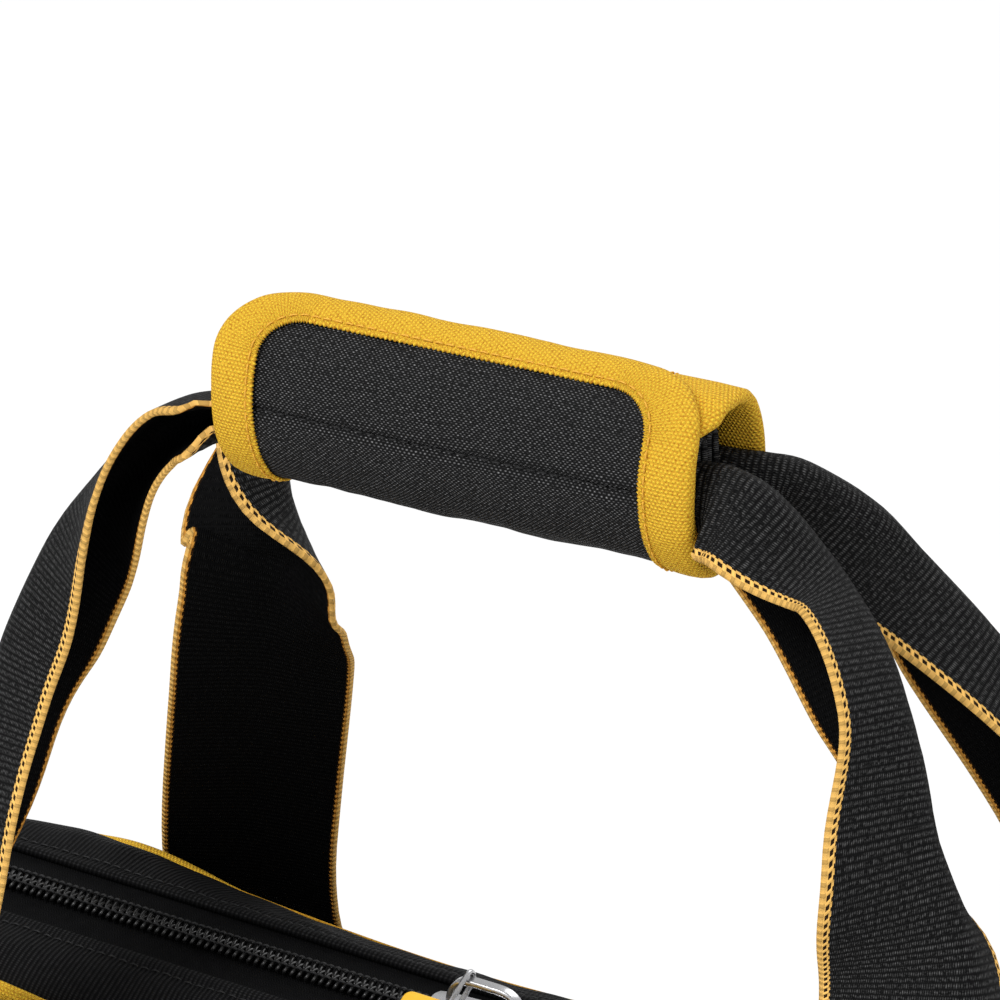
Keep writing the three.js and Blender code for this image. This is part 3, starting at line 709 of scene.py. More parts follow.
def make_end_bindings():
    """Yellow tape folded over the corner between end panel and sides."""
    path, inwards = house_path(0)
    profile = [(-5.5, 0.25), (-3.5, 0.75), (-1.2, 0.95), (0.7, 0.7), (1.5, -0.6), (1.75, -2.5),
               (1.75, -6.5), (1.5, -8.2)]
    for side, sign in SIDES:
        grid = np.array([at_x(sign * (HALF_LENGTH + out), path - inwards * rise) for out, rise in profile])
        grid[:, :, 0] += lumps(grid, 20, 0.5, sign)
        tape = sheet_piece(f"end_tape_{side}", grid, END_BINDING_SHEET, BINDING, "bag",
                           flip=sign > 0)
        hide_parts(f"end_binding_{side}")
        row, _ = house_path(6.6)
        stitches = at_x(sign * (HALF_LENGTH + 2.1), row)
        stitch_row(f"end_stitch_{side}", stitches, (sign, 0, 0), YELLOW_THREAD, "bag")


def band_section(x, side):
    """The ribbed top band's middle line at x, from seam to folded edge."""
    low = SEAM_HEIGHT + seam_lift(x)
    pucker = 0.5 * math.sin(x / 4.1 + math.sin(x / 17) * 2) + 0.35 * math.sin(x / 2.3)
    line = [
        (SEAM_OFFSET - 0.6, low - 0.9), (33, low + 2.4), (27, low + 5.3 + pucker * 0.5),
        (21.5, 246.3 + pucker * 0.35 + seam_lift(x) * 0.35),
        (18.2, 247.0 + pucker * 0.3 + seam_lift(x) * 0.15),
        (16.4, 248.0 + pucker * 0.1), (15.0, 248.3), (14.2, 247.9),
    ]
    section = smooth_run(line, 3)
    section[:, 0] *= side
    return section


def make_top_bands():
    columns = np.linspace(-INNER_END, INNER_END, 190)
    for face, side in FACES:
        grid = np.array([at_x(x, band_section(x, side)) for x in columns])
        grid[:, :, 2] += lumps(grid, 16, 0.9, side * 7) * np.clip((abs(grid[:, :, 1]) - 19) / 6, 0, 1)
        along = run_lengths(np.swapaxes(grid, 0, 1))
        places = np.stack(np.meshgrid(along, columns), axis=-1)[:, :, ::-1]
        band = sheet_piece(f"top_band_{face}_cloth", grid, RIBBED_SHEET, RIBBED, "bag", places,
                           flip=side < 0)
        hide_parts(f"top_band_{face}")
        run = grid[:, 12].copy()
        run[:, 2] += 0.95
        stitch_row(f"band_stitch_{face}", run, (0, 0, 1), THREAD, "bag", pitch=3.2, length=2.3)


def make_seam_piping():
    """Yellow tape folded over the seam between slope and top band. In front
    it stands up, and behind it leans down out of sight but for one stretch."""
    columns = np.linspace(-INNER_END, INNER_END, 190)
    fold = [(-1.0, 1.3), (1.6, 1.4), (3.4, 1.15), (4.2, 0), (3.4, -1.15), (1.6, -1.4), (-1.0, -1.3)]
    for face, side, scale, sunk in (("front", -1, 1.25, 0.6), ("rear", 1, 1.0, 1.7)):
        lean = 55 + 4 * np.sin(columns / 21)
        if side > 0:
            lean = -71 + 65 * np.exp(-((columns + 137) / 29) ** 2) + 3 * np.sin(columns / 9)
        lean = np.radians(lean)
        rows = []
        for out, up in fold:
            y = SEAM_OFFSET - 0.4 + (out * np.cos(lean) - up * np.sin(lean)) * scale
            z = SEAM_HEIGHT - sunk + seam_lift(columns) + (out * np.sin(lean) + up * np.cos(lean)) * scale
            rows.append(np.column_stack([columns, side * y, z]))
        grid = np.array(rows)
        tape = sheet_piece(f"seam_tape_{face}", grid, BINDING_SHEET, BINDING, "bag", flip=side > 0)
        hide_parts(f"top_binding_{face}")


# Zipper
def make_zipper_tapes():
    columns = np.linspace(-INNER_END, INNER_END, 120)
    reach = np.array([1.0, 2.2, 4.2, 6.5, 9.5, 12.5, 15.0, 16.6])
    dip = np.array([0, 0, 0.05, 0.25, 0.35, 0.25, 0.05, 0])
    wave = 1 + 0.25 * np.sin(columns / 13)
    height = TAPE_TOP - TAPE / 2 - dip[None, :] * wave[:, None]
    places = np.stack(np.meshgrid(reach, columns), axis=-1)
    for face, side in FACES:
        grid = grid_of(columns[:, None], side * reach[None, :], height)
        tape = sheet_piece(f"tape_{face}", grid, TAPE, TAPE_CLOTH, "bag", places,
                           flip=side < 0)
        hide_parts(f"zipper_tape_{face}")


def coil_path(side):
    """One nylon wire wound into a flattened spring along the tape's edge."""
    turns = int(2 * (INNER_END - 1) / COIL_PITCH)
    steps = 14
    angle = np.arange(turns * steps) / steps * 2 * math.pi
    x = -INNER_END + 1 + np.arange(turns * steps) / steps * COIL_PITCH
    if side > 0:
        x = x + COIL_PITCH / 2
    reach = (COIL_OUTER + COIL_OVERLAP) / 2
    middle = (COIL_OUTER - COIL_OVERLAP) / 2
    swing = np.cos(angle)
    y = middle + reach * np.sign(swing) * abs(swing) ** 0.8
    z = COIL_LOW + COIL_HEIGHT / 2 + (COIL_HEIGHT / 2 - COIL_WIRE) * np.sin(angle)
    bulge = np.exp(-((y + 0.3) / 0.7) ** 2)
    return np.column_stack([x, side * y, z]), COIL_WIRE * (1 + bulge * 0.35)


def make_coil():
    for face, side in FACES:
        path, radii = coil_path(side)
        points, faces = tube_mesh(path, radii, 5)
        coil = mesh_piece(f"coil_{face}", points, faces, flat_places(points), COIL, "bag")
        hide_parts(f"zipper_coil_{face}")
        line = [(x, side * (COIL_OUTER - 1.2), COIL_LOW + COIL_HEIGHT) for x in (-INNER_END, INNER_END)]
        stitch_row(f"coil_thread_{face}", line, (0, 0, 1), THREAD, "bag",
                   pitch=COIL_PITCH, length=1.8, radius=0.34)


END_TAB_LENGTH = 9.4
END_TAB_HALF_WIDTH = 8.2
END_TAB_HEIGHT = 251.15
END_TAB_SHEET = 1.3


def make_end_tabs():
    for side, sign in SIDES:
        x = sign * (INNER_END - np.linspace(0, END_TAB_LENGTH, 10))
        y = np.linspace(-END_TAB_HALF_WIDTH, END_TAB_HALF_WIDTH, 13)
        grid = grid_of(x[:, None], y[None, :], 0.0)
        drape = 0.9 * (abs(y) / END_TAB_HALF_WIDTH) ** 2
        grid[:, :, 2] = END_TAB_HEIGHT - drape[None, :] + lumps(grid, 5, 0.25)
        tab = sheet_piece(f"end_tab_{side}", grid, END_TAB_SHEET, RIBBED, "bag", flip=sign > 0)
        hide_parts(f"zipper_end_tab_{side}")
        row = [(x[7], -7.2, 251.6), (x[7], 0, 252.0), (x[7], 7.2, 251.6)]
        stitch_row(f"end_tab_stitch_{side}", row, (0, 0, 1), THREAD, "bag")


# Sliders
SLIDER_REST = 17.2
PLATE_LOW = 250.35
PLATE = 1.7
LOWER_LOW = 242.9
LOWER_TOP = 244.5
BAR_HEIGHT = 260.2
BAIL_HALF_SPAN = 11.0
LINK_SHIFT = 5.0
LINK_REACH = 9.0
LINK_RADIUS = 2.2
LINK_WIRE = 0.72
PULL_LEAN = math.radians(24)
PULL_SHIFT = 5.0
PULL_LOW = 7.9
PULL_HIGH = 39.5
PULL_HALF_WIDTH = 8.0
PULL_HALF = 1.35


def slider_outline(wide):
    """A slider plate seen from above: wide shoulders, narrow tail."""
    half = [(16, 0), (15.8, 2.6), (14.4, 4.4), (11.5, 5.4), (6, 5.6), (0, 5.5), (-7, 5.0), (-13, 4.6),
            (-15.3, 3.9), (-16, 2.2)]
    half = [(x, y * wide) for x, y in half]
    return half + [(x, -y) for x, y in reversed(half[1:])]


def bail_mesh():
    """The flat cast strip that arches over the slider and holds the link."""
    half = BAIL_HALF_SPAN - 0.9
    post = [(-half, PLATE_LOW + 1), (-half + 0.2, PLATE_LOW + 4.6), (-half + 1.6, BAR_HEIGHT - 2.2),
            (-half + 4.4, BAR_HEIGHT - 0.3)]
    line = post + [(0, BAR_HEIGHT)] + [(-x, z) for x, z in reversed(post)]
    arch = smooth_run([(x, 0, z) for x, z in line], 5)
    ahead = unit(np.gradient(arch, axis=0))
    out = np.column_stack([-ahead[:, 2], np.zeros(len(arch)), ahead[:, 0]])
    corners = [(-1.45, -0.5), (-1.2, -0.85), (1.2, -0.85), (1.45, -0.5)]
    corners += [(-across, -rise) for across, rise in corners]
    rings = [arch + np.array([0, across, 0]) + out * rise for across, rise in corners]
    return np.stack(rings, axis=1).reshape(-1, 3), ring_faces(len(arch), len(corners))


def make_slider(side, sign):
    def plate(outline, low, high):
        return outline_solid([(x * -sign, y) for x, y in outline], low, high)

    parts = [plate(slider_outline(1.0), PLATE_LOW, PLATE_LOW + PLATE),
             plate(slider_outline(0.98), LOWER_LOW, LOWER_TOP)]
    for across in (-1, 1):
        lip = [(-15, 4.1 * across), (12.5, 4.3 * across), (12.5, 5.5 * across), (-14, 4.9 * across)]
        parts.append(plate(lip, 247.5, PLATE_LOW + 0.4))
    neck = [(-2, -0.8), (4, -0.9), (4, 0.9), (-2, 0.8)]
    parts.append(plate(neck, LOWER_TOP - 0.3, PLATE_LOW + 0.2))
    parts.append(bail_mesh())
    rib = smooth_run([(-7.5, 0, PLATE_LOW + 1.6), (-4, 0, PLATE_LOW + 2.2), (4, 0, PLATE_LOW + 2.2),
                      (7.5, 0, PLATE_LOW + 1.6)], 4)
    parts.append(tube_mesh(rib, 1.1, 8, flat=0.6))
    points, faces = joined(parts)
    points[:, 0] += sign * SLIDER_REST
    slider = mesh_piece(f"slider_{side}_cast", points, faces, flat_places(points), METAL,
                        f"{side}_slider")
    bevelled(slider, 0.35, 2)
    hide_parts(f"slider_{side}")


def hanging(points, sign):
    """Turns [out along the pull, up from it, across] into the bag's frame."""
    points = np.asarray(points, float)
    out, up, across = points[:, 0], points[:, 1], points[:, 2]
    x = sign * (SLIDER_REST + LINK_SHIFT) + across
    y = -out * math.cos(PULL_LEAN) - up * math.sin(PULL_LEAN)
    z = BAR_HEIGHT - out * math.sin(PULL_LEAN) + up * math.cos(PULL_LEAN)
    return np.column_stack([x, y, z])


def make_pull(side, sign):
    body = f"{side}_pull"
    angles = np.linspace(-math.pi / 2, math.pi / 2, 12)
    turns = [(LINK_RADIUS * math.cos(a), LINK_RADIUS * math.sin(a)) for a in angles]
    ring = [(LINK_REACH + out, up, 0) for out, up in turns] + [(-out, -up, 0) for out, up in turns]
    link = tube_piece(f"pull_link_{side}_wire", [hanging(ring, sign)], LINK_WIRE, METAL, body,
                      sides=8, closed=True)
    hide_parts(f"pull_link_{side}")

    middle = sign * PULL_SHIFT
    outline = rounded_outline(PULL_LOW, PULL_HIGH, PULL_HALF_WIDTH, 2.2, 4.5)
    flat = outline_solid([(x, y + middle) for x, y in outline], -PULL_HALF, PULL_HALF)
    points = np.column_stack([flat[0][:, 0], flat[0][:, 2], flat[0][:, 1]])
    tab = mesh_piece(f"pull_tab_{side}_moulded", hanging(points, sign), [f[::-1] for f in flat[1]],
                     flat_places(points), PULL, body)
    bevelled(tab, 0.8, 3)
    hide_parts(f"pull_tab_{side}")
    ridges = []
    for out in (18, 21, 24, 27, 30, 33):
        for up in (-PULL_HALF, PULL_HALF):
            ridge = [(out, up, middle - 5.4), (out, up * 1.08, middle), (out, up, middle + 5.4)]
            ridges.append(hanging(ridge, sign))
    tube_piece(f"pull_ridges_{side}", ridges, 0.45, PULL, body)


def rounded_outline(low, high, half_width, near_radius, far_radius):
    """A flat tab's outline with round corners, from low to high."""
    outline = []
    for centre, radius, start in (((low + near_radius, half_width - near_radius), near_radius, 90),
                                  ((low + near_radius, -half_width + near_radius), near_radius, 180),
                                  ((high - far_radius, -half_width + far_radius), far_radius, 270),
                                  ((high - far_radius, half_width - far_radius), far_radius, 0)):
        for k in range(6):
            turn = math.radians(start + 18 * k)
            outline.append((centre[0] + radius * math.cos(turn), centre[1] + radius * math.sin(turn)))
    return outline


# Pockets
POCKET_LOW = 12
POCKET_DEPTH = 24
POCKET_SPACE = 3
POCKET_SHEET = 1.7
POCKET_FLOOR_SHEET = 1.4
CENTRE_POCKET_TOP = 130
SIDE_POCKET_TOP = 120
END_POCKET = (120, 20, 125)
STAND_OFF = 0.3


def pocket_walls(width, depth, low, high):
    """The pocket's cloth as a grid, standing out towards -Y from the wall."""
    half = width / 2
    corner = min(9.0, depth * 0.4)
    plan = [(-half + 1, 0.2), (-half + 1, -depth * 0.35), (-half + 1, -depth + corner + 1)]
    plan += [(-half + 1 + corner * (1 - math.cos(a)), -depth + corner + 1 - corner * math.sin(a))
             for a in np.linspace(0.3, math.pi / 2, 5)]
    run = np.linspace(-half + corner + 4, half - corner - 4, max(5, int(width / 9)))
    plan += [(x, -depth + 1) for x in run]
    right = [(-x, y) for x, y in reversed(plan[:8])]
    plan = np.array(plan + right)
    far = plan[:, 1] < -depth * 0.7
    heights = np.concatenate([[low, low + 1.2, low + 4], np.linspace(low + 9, high, 17)])
    grid = np.zeros((len(heights), len(plan), 3))
    for i, z in enumerate(heights):
        share = (z - low) / (high - low)
        tuck = 1 - math.exp(-(z - low) / 3.0)
        inwards = (1 - tuck) * 3.5
        belly = math.sin(share * math.pi) * 1.6
        grid[i, :, 0] = plan[:, 0] * (1 - (1 - tuck) * 2.0 / half)
        bulge = belly * far * (1 - (plan[:, 0] / half) ** 2)
        grid[i, :, 1] = plan[:, 1] + inwards * (plan[:, 1] < -2) + bulge
        grid[i, :, 2] = z
    return grid


def make_pocket(node, width, depth, high, turn, stand, slide):
    """A sewn pocket with a floor, a bound rim and a stitched hem."""
    grid = pocket_walls(width, depth, POCKET_LOW, high)
    ripple = lumps(grid, 26, 1.6, stand + turn) * np.clip((-grid[:, :, 1] - 3) / 8, 0, 1)
    grid[:, :, 1] += ripple * 0.8
    place = placed(turn, stand, slide)
    cloth = sheet_piece(f"{node}_cloth", place(grid), POCKET_SHEET, CANVAS, "bag", flip=True)
    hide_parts(node)

    ring = grid[1]
    floor_grid = np.array([ring * (1, share, 1) for share in np.linspace(1, 0.02, 7)])
    floor_grid[:, :, 2] = POCKET_LOW + 1.0
    sheet_piece(f"{node}_floor", place(floor_grid[:, 2:-2]), POCKET_FLOOR_SHEET, CANVAS, "bag")

    rim = grid[-1]
    out = np.zeros_like(rim)
    out[:, 1] = -1
    out[:3] = (-1, 0, 0)
    out[-3:] = (1, 0, 0)
    out = unit(out)
    fold = [(1.5, -9.0), (1.7, -5), (1.7, -1.5), (1.25, 0.8), (0, 1.5)]
    fold += [(-push, rise) for push, rise in reversed(fold[:-1])]
    rows = [rim + out * push + np.array([0, 0, rise]) for push, rise in fold]
    sheet_piece(f"{node}_rim", place(np.array(rows)), BINDING_SHEET, BINDING, "bag", flip=True)
    hem = rim + out * 2.05 + np.array([0, 0, -7.4])
    shown = place(hem)
    facing = place(hem + out) - shown
    stitch_row(f"{node}_hem", shown, facing[len(facing) // 2], YELLOW_THREAD, "bag")


def placed(turn, stand, slide):
    """Moves a grid from the pocket's own frame to its wall of the bag."""
    c, s = math.cos(turn), math.sin(turn)

    def move(grid):
        x = grid[..., 0] + slide
        y = grid[..., 1] + stand
        return np.stack([x * c - y * s, x * s + y * c, grid[..., 2]], axis=-1)

    return move


def make_pockets():
    centre_width = 2 * (STRAP_X - STRAP_WIDTH / 2 - POCKET_SPACE)
    inner = STRAP_X + STRAP_WIDTH / 2 + POCKET_SPACE
    side_width = HALF_LENGTH - inner
    stand = -HALF_DEPTH - STAND_OFF
    for face, turn in (("front", 0), ("rear", math.pi)):
        make_pocket(f"{face}_pocket_centre", centre_width, POCKET_DEPTH, CENTRE_POCKET_TOP, turn, stand, 0)
        for side, sign in SIDES:
            seen = sign if turn == 0 else -sign
            slide = seen * (inner + side_width / 2)
            make_pocket(f"{face}_pocket_{side}", side_width, POCKET_DEPTH, SIDE_POCKET_TOP, turn, stand,
                        slide)
    for side, sign in SIDES:
        make_pocket(f"end_pocket_{side}", *END_POCKET, sign * math.pi / 2, -HALF_LENGTH - STAND_OFF, 0)


# Straps. Each row of a route holds the place of the fold, the direction
# across the strap, how far it is folded, in degrees, and the distance of the
# fold from the strap's middle.
LEGS = {
    "front_left": (-1, -1, -1, [
        (-0.5, 3.5, -9, 0, 0, 1, 170, 0), (-15, 5, -14, -0.5, 0, 0.82, 165, 0),
        (-31, 2, -26, -0.65, -0.3, 0.65, 160, 0), (-46, -6, -45, -0.3, -0.75, 0.6, 153, 0),
        (-55, -16, -66, 0.05, -0.93, 0.35, 148, 0), (-59, -27, -88, 0.35, -0.9, 0.25, 112, 0),
    ], [
        (11, 35, 142, 0.5, -0.85, 0, 80, 0), (2, 3, 50, 0.95, -0.2, 0, 20, 0), (0, 0, 0, 1, 0, 0, 0, 0),
    ]),
    "rear_left": (-1, 1, 1, [
        (-0.8, 2, -14, 0, -0.97, 0.25, 172, 0), (-5, 13, -17, -0.5, -0.85, 0.12, 168, 0),
        (-13, 31, -24, -0.85, -0.5, 0.1, 165, 0), (-22, 47, -38, -0.75, -0.62, 0.12, 140, 4),
        (-26.5, 54, -50, -0.1, -0.98, 0.15, 100, 8),
    ], [
        (47.2, -62.8, 195.6, 0.986, -0.116, 0.12, 74, 6.5), (42, -62.5, 181, 0.97, 0.2, 0.08, 40, 3),
        (31, -56.3, 151.7, 0.87, 0.49, 0, 15, 0),
        (10, -31, 76, 0.94, 0.34, 0, 15, 0), (2, -3, 30, 1, 0.05, 0, 10, 0), (0, 0, 0, 1, 0, 0, 0, 0),
    ]),
    "front_right": (1, -1, 1, [
        (0.7, -4, 5, 0, -0.9, 0.3, 168, 0), (8, -4, 5.5, 0.05, -0.87, 0.4, 164, 0),
        (18, -3, 1, 0.15, -0.8, 0.5, 153, 0), (34, 0, -16.5, 0.5, -0.55, 0.7, 120, 0),
        (54, -10, -37, 0.5, -0.65, 0.6, 115, 0), (66.5, -19.6, -59.9, 0.3, -0.9, 0.4, 120, -5),
    ], [
        (-6.8, 49.8, 188, -0.6, -0.75, 0, 80, -10), (-0.8, 31.7, 140, -0.8, -0.55, 0, 60, -10),
        (5, 3.5, 50, -1, -0.1, 0, 20, -5), (0, 0, 0, -1, 0, 0, 0, 0),
    ]),
    "rear_right": (1, 1, -1, [
        (0.8, 8, 3, 0, 1, 0, 170, 0), (17, 15, -1, -0.05, 0.95, 0.3, 145, 0),
        (33, 30, -19, -0.33, 0.94, -0.07, 130, 0), (56, 38, -47, -0.85, 0.45, -0.2, 128, 0),
        (74, 60, -98, -0.95, 0.2, -0.1, 75, 0),
    ], [
        (-6, -35, 114, -1, 0.2, 0, 40, 0), (0, -3, 40, -1, 0, 0, 10, 0), (0, 0, 0, -1, 0, 0, 0, 0),
    ]),
}
STRAP_COLUMNS = np.concatenate([
    [-22.5, -21.9, -21.0, -20.2, -19.4], np.linspace(-17.5, 17.5, 21), [19.4, 20.2, 21.0, 21.9, 22.5]])


def wrap_frame(points):
    """Points in the hand wrap's own frame, moved to the bag's."""
    points = np.asarray(points, float)
    c, s = math.cos(WRAP_TILT), math.sin(WRAP_TILT)
    x = points[..., 0] * c - points[..., 2] * s + WRAP_CENTRE[0]
    z = points[..., 0] * s + points[..., 2] * c + WRAP_CENTRE[2]
    return np.stack([x, points[..., 1] + WRAP_CENTRE[1], z], axis=-1)


def folded_section(degrees, distances):
    """Across and inwards reach of points at signed distances from the fold."""
    steps = np.linspace(0, STRAP_WIDTH, 161)
    middle = (steps[1:] + steps[:-1]) / 2
    angle = math.radians(degrees) / 2 * np.tanh(middle / CREASE)
    step = steps[1]
    across = np.concatenate([[0], np.cumsum(np.cos(angle) * step)])
    inward = np.concatenate([[0], np.cumsum(np.sin(angle) * step)])
    far = abs(distances)
    return np.sign(distances) * np.interp(far, steps, across), np.interp(far, steps, inward)


def gathered(grid, along):
    """Squeezes a strap into the wrap's mouth. along is each row's length
    outside it."""
    moved = grid - np.array(WRAP_CENTRE)
    c, s = math.cos(WRAP_TILT), math.sin(WRAP_TILT)
    x = moved[..., 0] * c + moved[..., 2] * s
    z = moved[..., 2] * c - moved[..., 0] * s
    y = moved[..., 1]
    room = (1 + (np.clip(along, 0, None) / 7) ** 2)[:, None]
    far = np.maximum(np.hypot(y / (WRAP_HALF_DEPTH - 5.4), z / (WRAP_HALF_HEIGHT - 5.4)), 1e-6)
    keep = room / (far ** 8 + room ** 8) ** 0.125
    return wrap_frame(np.stack([x, y * keep, z * keep], axis=-1))


def make_leg(name, side, face, opening, from_wrap, from_foot):
    start = wrap_frame([side * WRAP_LENGTH / 2, 0, 0])
    foot = np.array([side * STRAP_X, face * (HALF_DEPTH + STRAP_STAND), STRAP_TOP + 0.3])
    rows = [np.concatenate([np.array(r[:3]) + start, r[3:]]) for r in from_wrap]
    rows += [np.concatenate([np.array(r[:3]) + foot, r[3:]]) for r in from_foot]
    run = smooth_run(rows, 9)
    centre = run[:, :3]
    ahead = unit(np.gradient(centre, axis=0))
    axis = wrap_frame([side, 0, 0]) - wrap_frame([0, 0, 0])
    ahead[0] = axis
    ahead[-1] = (0, 0, -1)
    inside = centre[0] - axis * np.array([[12.0], [8.0], [4.0]])
    centre = np.concatenate([inside, centre])
    ahead = np.concatenate([[axis] * len(inside), ahead])
    shape = np.concatenate([run[:1, 3:]] * len(inside) + [run[:, 3:]])
    across = unit(shape[:, :3] - (shape[:, :3] * ahead).sum(axis=1, keepdims=True) * ahead)
    inwards = np.cross(ahead, across) * opening
    grid = np.zeros((len(centre), len(STRAP_COLUMNS), 3))
    for i in range(len(centre)):
        reach, depth = folded_section(shape[i, 3], STRAP_COLUMNS - shape[i, 4])
        grid[i] = centre[i] + across[i] * reach[:, None] + inwards[i] * depth[:, None]
    along = run_lengths(centre)
    wobble = np.clip(np.minimum(along, along[-1] - along) / 40, 0, 1)[:, None]
    grid += normals(grid) * (lumps(grid, 24, 1.1, side + 3 * face) * wobble)[..., None]
    grid = gathered(grid, along - along[len(inside)])
    places = np.stack(np.meshgrid(STRAP_COLUMNS, along), axis=-1)
    # The inner faces of the folded leg take the darker webbing copy, which is painted shade.
    leg = sheet_piece(f"strap_{name}", grid, STRAP, WEBBING, None, places,
                      flip=opening > 0, under=WEBBING_SHADED)
    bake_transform(leg)
    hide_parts(f"strap_leg_{name}")


def make_legs():
    for name, route in LEGS.items():
        make_leg(name, *route)


BOX_HALF_WIDTH = 18
BOX_LOW = STRAP_TOP - 38
BOX_TOP = STRAP_TOP - 6


def make_strap_bases():
    """Webbing sewn up the walls, with a crossed box of stitches near the top."""
    heights = np.linspace(WALL_LOW, STRAP_TOP + 1.5, 60)
    for face, sy in FACES:
        for side, sx in SIDES:
            stand = sy * (HALF_DEPTH + STRAP_STAND)
            grid = grid_of(sx * STRAP_X + STRAP_COLUMNS[None, :], stand, heights[:, None])
            grid[:, :, 1] += sy * lumps(grid, 30, 0.5, sx)
            places = np.stack(np.meshgrid(STRAP_COLUMNS, heights), axis=-1)
            base = sheet_piece(f"strap_base_{face}_{side}_cloth", grid, STRAP, WEBBING, "bag",
                               places, flip=sy < 0)
            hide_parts(f"strap_base_{face}_{side}")
            y = sy * (HALF_DEPTH + 2.4)
            left, right = sx * STRAP_X - BOX_HALF_WIDTH, sx * STRAP_X + BOX_HALF_WIDTH
            box = [(left, y, BOX_LOW), (right, y, BOX_LOW), (right, y, BOX_TOP), (left, y, BOX_TOP),
                   (left, y, BOX_LOW), (right, y, BOX_TOP)]
            cross = [(left, y, BOX_TOP), (right, y, BOX_LOW)]
            for part, path in (("box", box), ("cross", cross)):
                stitch_row(f"strap_{part}_{face}_{side}", path, (0, sy, 0), THREAD, "bag")


# Hand wrap
def wrap_oval(x, degrees, depth):
    """A point of the wrap, at an angle round it and a depth under its skin."""
    turn = np.radians(degrees)
    return grid_of(x, -(WRAP_HALF_DEPTH - depth) * np.cos(turn), (WRAP_HALF_HEIGHT - depth) * np.sin(turn))


def arc_table(low, high):
    """Angles and the skin length that each lies from the first."""
    degrees = np.linspace(low, high, 400)
    return degrees, run_lengths(wrap_oval(0.0, degrees, 0.0))


def flap_point(x, length, depth, table):
    """A point of the flap by its length up from the lower edge. Its right
    end reaches a little farther than its left."""
    degrees = np.interp(length, table[1], table[0])
    spread = (abs(x) / (WRAP_LENGTH / 2)) ** 4
    x = x + FLAP_LONGER * (0.5 + x / WRAP_LENGTH) ** 2
    return wrap_oval(x, degrees, depth + spread * 0.5)


def flap_half_width(length, total):
    """Half the flap's width, with its upper corners rounded."""
    over = np.clip(length - (total - FLAP_CORNER), 0, FLAP_CORNER)
    return WRAP_LENGTH / 2 - FLAP_CORNER + np.sqrt(FLAP_CORNER ** 2 - over ** 2)


def flap_edge(inset, total):
    """The flap's bound edge as [x, length], from lower left to lower right."""
    half = WRAP_LENGTH / 2 - inset
    radius = max(FLAP_CORNER - inset, 1.0)
    glint_brightness = total - inset
    left = [(-half, length) for length in np.linspace(0, glint_brightness - radius, 88)]
    corner = [(-half + radius - radius * math.cos(a), glint_brightness - radius + radius * math.sin(a))
              for a in np.linspace(0, math.pi / 2, 48)[1:]]
    run = [(x, glint_brightness) for x in np.linspace(-half + radius, 0, 64)[1:]]
    path = left + corner + run
    return np.array(path + [(-x, length) for x, length in reversed(path[:-1])])


def serrated(edge, reach):
    """Moves every second point of a bound edge in and out, like the loops of
    a woven tape's border."""
    ahead = unit(np.gradient(edge, axis=0))
    inwards = np.column_stack([ahead[:, 1], -ahead[:, 0]])
    wave = np.where(np.arange(len(edge)) % 2, reach, -reach)
    return edge + inwards * wave[:, None]


def cloth_places(grid, length):
    """Places on the cloth from each point's x and its row's length."""
    return np.stack([grid[..., 0], np.broadcast_to(length[:, None], grid.shape[:2])], axis=-1)


def make_flap_cloth(table, total):
    rows = []
    shares = np.linspace(-1, 1, 81)
    for length in np.linspace(0, total - 1.5, 56):
        half = flap_half_width(length + 1.0, total) - 1.5
        x = shares * half
        seam = 1.3 * math.exp(-((length - total * SEAM_SHARE) / 1.3) ** 2)
        depth = FLAP_DEPTH + 1.25 + seam
        rows.append(flap_point(x, np.full_like(x, length), depth, table))
    grid = np.array(rows)
    grid += normals(grid) * (lumps(grid, 17, 0.7, 2) + lumps(grid, 6, 0.25, 4))[..., None]
    places = cloth_places(grid, np.linspace(0, total, len(rows)))
    cloth = sheet_piece("flap_cloth", wrap_frame(grid), FLAP_SHEET, CANVAS, "wrap_front_flap",
                        places, flip=True)
    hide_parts("wrap_flap")


def make_flap_tape(table, total):
    """Yellow tape folded over the flap's edge, with its border's loops."""
    fold = [(BINDING_WIDTH, 0.45), (BINDING_WIDTH - 0.5, 0.3), (BINDING_WIDTH - 1.3, 0.6),
            (BINDING_WIDTH - 2.1, 0.35), (7.5, 0.12), (5, 0.02), (2.7, 0.1), (1.1, 0.45), (0.25, 1.1),
            (0.0, 2.2), (0.3, 3.3), (1.5, 3.9), (4, 3.9), (8, 3.9)]
    lengths = run_lengths(flap_edge(3, total))
    rows, spots = [], []
    turned = 0.0
    for k, (inset, depth) in enumerate(fold):
        edge = flap_edge(inset, total)
        if k < 2:
            edge = serrated(edge, 0.22)
        rows.append(flap_point(edge[:, 0], edge[:, 1], depth, table))
        if k:
            turned += math.hypot(inset - fold[k - 1][0], depth - fold[k - 1][1])
        spots.append(np.column_stack([np.full(len(edge), turned), lengths]))
    grid = np.array(rows)
    grid += normals(grid) * lumps(grid, 9, 0.35, 6)[..., None]
    tape = sheet_piece("flap_tape", wrap_frame(grid), BINDING_SHEET, BINDING, "wrap_front_flap",
                       np.array(spots))
    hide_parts("flap_binding")


def make_flap():
    table = arc_table(FLAP_LOW, FLAP_END)
    total = table[1][-1]
    make_flap_cloth(table, total)
    make_flap_tape(table, total)
    edge = flap_edge(BINDING_WIDTH - 1.3, total)
    path, outer = [flap_point(edge[:, 0], edge[:, 1], depth, table) for depth in (-0.05, -1.05)]
    wrap_stitches("flap_tape_stitch", path, outer, YELLOW_THREAD, "wrap_front_flap")
    reach = WRAP_LENGTH / 2 - BINDING_WIDTH - 1
    x = np.linspace(-reach, reach, 30)
    length = np.full_like(x, total * SEAM_SHARE)
    path, outer = [flap_point(x, length, depth, table) for depth in (FLAP_DEPTH + 0.75, 0.0)]
    wrap_stitches("flap_seam_stitch", path, outer, THREAD, "wrap_front_flap")


